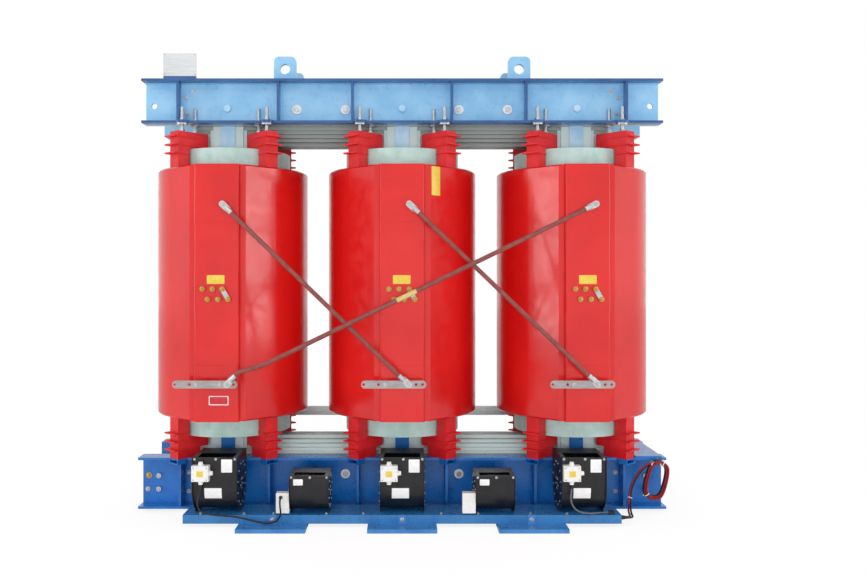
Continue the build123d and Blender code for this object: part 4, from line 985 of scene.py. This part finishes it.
# %% Drum labels
def drum_label(name, material, fan_x, offset, middle, width, height, radius, axis_z):
    """A label that follows a blower's drum below its axis, with a smooth thin edge."""
    axis_y = -RAIL_FRONT + radius
    bm = bmesh.new()
    front, back = [], []
    for step in range(LABEL_STRIPS + 1):
        z = middle + height * (0.5 - step / LABEL_STRIPS)
        drop = min(0.0, z - axis_z)
        reach = math.sqrt(radius ** 2 - drop ** 2)
        for side in (-1, 1):
            x = fan_x + offset + side * width / 2
            outward = Vector((0, -reach, drop)).normalized()
            back.append(bm.verts.new(Vector((x, axis_y - reach, z)) * MM))
            front.append(bm.verts.new((Vector((x, axis_y - reach, z)) + outward * LABEL_THICKNESS) * MM))
    for step in range(LABEL_STRIPS):
        a, b, c, d = 2 * step, 2 * step + 1, 2 * step + 3, 2 * step + 2
        bm.faces.new([front[a], front[b], front[c], front[d]])
        bm.faces.new([back[d], back[c], back[b], back[a]])
        bm.faces.new([front[a], front[d], back[d], back[a]])
        bm.faces.new([front[b], back[b], back[c], front[c]])
    last = 2 * LABEL_STRIPS
    bm.faces.new([front[0], back[0], back[1], front[1]])
    bm.faces.new([front[last], front[last + 1], back[last + 1], back[last]])
    return piece_from(name, mesh_of(name, bm, 50), material)


BIG_AXIS_Z = RAIL_TOP + BIG_RADIUS + FAN_RIM
for name in BIG_FRONT:
    drum_label("drum_label_" + name, WHITE_VINYL, FAN_X[name], -8, 157, 79, 49,
               BIG_RADIUS, BIG_AXIS_Z)

# %% [markdown]
# ## Terminal boxes
# A moulded terminal box has a lid that stands on a seam, a screw at each corner, and a gland
# nut on each cable hole. The lid is a rounded plate of its own, a little smaller than the box,
# and its label is a blank yellow square.

# %% Lids, gland nuts and cover screws
BOX_OFFSET, BOX_WIDTH, BOX_HEIGHT, BOX_DEPTH = -60, 78, 71, 35
BOX_Z = BIG_AXIS_Z + 74
BOX_FACE = RAIL_FRONT + BOX_DEPTH
box_x = [FAN_X[name] + BOX_OFFSET for name in BIG_FRONT]
LID_THICKNESS = 3
plates("box_lids", WHITE_ABS,
       [((x, -BOX_FACE, BOX_Z), FRONT, 74, 67, 6) for x in box_x], LID_THICKNESS)
plates("box_labels", YELLOW_VINYL,
       [((x, -BOX_FACE - LID_THICKNESS, BOX_Z), FRONT, 30, 26, 3) for x in box_x])
corners = [(x + across, -BOX_FACE - LID_THICKNESS, BOX_Z + upward)
           for x in box_x for across in (-30, 30) for upward in (-27, 27)]
fasteners("lid_screws", corners, TO_FRONT, (2.6, 1.4), (3.4, 0.4), sides=10)
gland_y = -RAIL_FRONT - BOX_DEPTH / 2
below = [(x, gland_y, BOX_Z - BOX_HEIGHT / 2 - 7) for x in box_x]
above = [(x, gland_y, BOX_Z + BOX_HEIGHT / 2) for x in box_x]
beside = [(x + BOX_WIDTH / 2, gland_y, BOX_Z) for x in box_x]
fasteners("gland_nuts_low", below, UPWARD, (13, 7), (13, 0.5), WHITE_ABS)
fasteners("gland_nuts_high", above, UPWARD, (13, 7), (13, 0.5), WHITE_ABS)
fasteners("gland_nuts_side", beside, TO_RIGHT, (13, 7), (13, 0.5), WHITE_ABS)

# %% [markdown]
# ## Threads and weld beads
# A stud's thread and a weld are both one small shape repeated along a line: a crest every pitch,
# or a ripple at every move of the torch. So one kind of tree serves both. It turns drawn lines
# into curves, cuts them into equal steps and sets the shape at each step. The thread's crest is a
# short cone as wide as the stud, so its edge catches the light as a real thread does.

# %% Trees that repeat along lines, and the studs' threads
def along_lines_tree(title, shape_kind):
    """A tree that repeats a cone or a ball at every step along the lines that it is given."""
    tree, given = start_tree(title, {"Radius": "NodeSocketFloat", "Step": "NodeSocketFloat"})
    lines = add_node(tree, "GeometryNodeMeshToCurve", inputs={"Mesh": given["Geometry"]})
    steps = add_node(tree, "GeometryNodeCurveToPoints", {"mode": "LENGTH"}, {
        "Curve": lines.outputs["Curve"], "Length": given["Step"]})
    if shape_kind == "crest":
        shape = add_node(tree, "GeometryNodeMeshCone", inputs={
            "Vertices": 14, "Radius Bottom": given["Radius"],
            "Radius Top": calculated(tree, "MULTIPLY", given["Radius"], 0.9),
            "Depth": calculated(tree, "MULTIPLY", given["Step"], 0.8)})
    else:
        shape = add_node(tree, "GeometryNodeMeshIcoSphere", inputs={
            "Radius": given["Radius"], "Subdivisions": 2})
    copies = add_node(tree, "GeometryNodeInstanceOnPoints", inputs={
        "Points": steps.outputs["Points"], "Instance": shape.outputs["Mesh"]})
    close_tree(tree, given, copies.outputs["Instances"])
    return tree


def repeat_along(name, tree, lines, material, radius, step):
    """Lines are pairs of ends in millimetres."""
    points = [Vector(end) * MM for line in lines for end in line]
    edges = [(2 * index, 2 * index + 1) for index in range(len(lines))]
    return grow(name, tree, points, material, {"Radius": radius * MM, "Step": step * MM}, edges)


THREAD = along_lines_tree("thread", "crest")
WELD = along_lines_tree("weld", "ripple")
BLOCK_ANGLE = math.radians(41)
STUD_REACHES = (240, 316)
NUT_TOP, STUD_TOP = 1931, 1983
stud_lines = []
for coil in COIL_X:
    for reach in STUD_REACHES:
        for side_x in (-1, 1):
            for side_y in (-1, 1):
                x = coil + side_x * reach * math.sin(BLOCK_ANGLE)
                y = side_y * reach * math.cos(BLOCK_ANGLE)
                stud_lines.append(((x, y, NUT_TOP), (x, y, STUD_TOP)))
repeat_along("stud_threads", THREAD, stud_lines, ZINC, 8.4, 2.6)

# %% [markdown]
# ## Weld beads on the clamps
# The ribs are welded to the web on both sides, and the lifting lugs to the top flange. A painted
# fillet weld shows as a row of soft ripples, so a small ball at every step of 3.6 mm, half sunk in
# the corner, gives its look.

# %% Weld lines
HALF_PLATE = 6
BEAD_OFFSET = 1
UPPER_RIBS, LOWER_RIBS = (244, 608, 1099), (217.5, 652.5, 1087.5)
LUG_X, LUG_HALF, LUG_FACE, CLAMP_TOP = 582, 55, 179, 2121
weld_lines = {"light": [], "deep": []}
for face in (-1, 1):
    for side in (-1, 1):
        for shade, ribs, low, high in (("light", UPPER_RIBS, 1918, 2107), ("deep", LOWER_RIBS, 14, 254)):
            for rib in ribs:
                for edge in (-1, 1):
                    x = side * rib + edge * (HALF_PLATE + BEAD_OFFSET)
                    y = face * (WEB_FACE + BEAD_OFFSET)
                    weld_lines[shade].append(((x, y, low), (x, y, high)))
        y, z = face * (LUG_FACE + BEAD_OFFSET), CLAMP_TOP + BEAD_OFFSET
        weld_lines["light"].append(((side * LUG_X - LUG_HALF, y, z), (side * LUG_X + LUG_HALF, y, z)))
# The upper beads wear the upper clamps' enamel, with its painted reflection near the web.
repeat_along("weld_beads_upper", WELD, weld_lines["light"], BLUE_WITH_PAINTED_REFLECTION, 3.2, 3.6)
repeat_along("weld_beads_lower", WELD, weld_lines["deep"], DEEP_BLUE, 3.2, 3.6)

# %% [markdown]
# ## Ties and tape
# Nylon ties hold the hank and the two supply leads together. A tie is a flat band, pulled to a
# rounded oblong by what it holds, with a small square head. A band of fibre tape marks the
# long delta rod where it crosses the middle winding. Four brass rivets hold the nameplate, which
# stays blank.

# %% Ties, tape and the nameplate's rivets
TIE_WIDTH, TIE_THICKNESS = 3.6, 1.2
HANK_Y = -278


def tie(bm, place, along, wide, half_wide, half_deep):
    """A band round a bundle at a place in millimetres; wide is the direction of its longer half."""
    along = Vector(along).normalized()
    first = Vector(wide)
    first = (first - along * first.dot(along)).normalized()
    turn = Matrix((first, along.cross(first), along)).transposed().to_4x4()
    matrix = Matrix.Translation(Vector(place) * MM) @ turn
    corner = min(half_wide, half_deep) * 0.8
    inner = rounded_outline(2 * half_wide, 2 * half_deep, corner)
    outer = rounded_outline(2 * (half_wide + TIE_THICKNESS), 2 * (half_deep + TIE_THICKNESS), corner)
    loops = []
    for outline, level in ((inner, -0.5), (outer, -0.5), (outer, 0.5), (inner, 0.5)):
        loops.append([bm.verts.new(matrix @ (Vector((x, y, level * TIE_WIDTH)) * MM)) for x, y in outline])
    for low, high in zip(loops, loops[1:] + loops[:1]):
        for step in range(len(low)):
            after = (step + 1) % len(low)
            bm.faces.new([low[step], low[after], high[after], high[step]])
    head = matrix @ Matrix.Translation(Vector((half_wide * 0.3, half_deep + 2.4, 0)) * MM)
    bmesh.ops.create_cube(bm, size=1.0, matrix=head @ Matrix.Diagonal((6.5 * MM, 4.6 * MM, 5.4 * MM, 1.0)))


def hank_place(angle):
    """The middle of the bundle and its direction at an angle round the hank."""
    def point(turn):
        across, upward = loop_place(turn, 0)
        return Vector((HANK_X + across, HANK_Y, HANK_Z + upward))
    return point(angle), point(angle + 0.05) - point(angle - 0.05)


bm = bmesh.new()
for angle in (math.radians(12), math.radians(222)):
    place, along = hank_place(angle)
    tie(bm, place, along, (0, 1, 0), 22.5, 11.6)
tie(bm, (1103.8, -279.3, 80), (0.18, 0.43, 0.88), (0.68, 0.73, -0.1), 13.8, 5.6)
piece_from("cable_ties", mesh_of("cable_ties", bm), WHITE_NYLON)

ROD_START, ROD_END = Vector((600, -496, 1344)), Vector((-640, -536, 745))
ROD_RADIUS = 10.5
TAPE_X, TAPE_HALF = 20, 50
rod_along = ROD_END - ROD_START
band_middle = ROD_START + rod_along * ((ROD_START.x - TAPE_X) / (ROD_START.x - ROD_END.x))
profile = [(0, -TAPE_HALF), (ROD_RADIUS - 1, -TAPE_HALF), (ROD_RADIUS + 0.9, -TAPE_HALF),
           (ROD_RADIUS + 1.1, 0), (ROD_RADIUS + 0.9, TAPE_HALF), (ROD_RADIUS - 1, TAPE_HALF), (0, TAPE_HALF)]
bm = bmesh.new()
spun(bm, [(radius * MM, height * MM) for radius, height in profile],
     stand(band_middle * MM, rod_along), 24)
piece_from("rod_tape", mesh_of("rod_tape", bm), BEIGE_TAPE)

low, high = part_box("nameplate")
plate_low, plate_high = low / MM, high / MM
RIVET_INSET = 7
rivets = [(x, plate_low.y, z) for x in (plate_low.x + RIVET_INSET, plate_high.x - RIVET_INSET)
          for z in (plate_low.z + RIVET_INSET, plate_high.z - RIVET_INSET)]
fasteners("nameplate_rivets", rivets, TO_FRONT, (2.4, 1.2), (3.2, 0.4), BRASS, 12)
print("nameplate is", [round(value) for value in (plate_high - plate_low)], "mm")
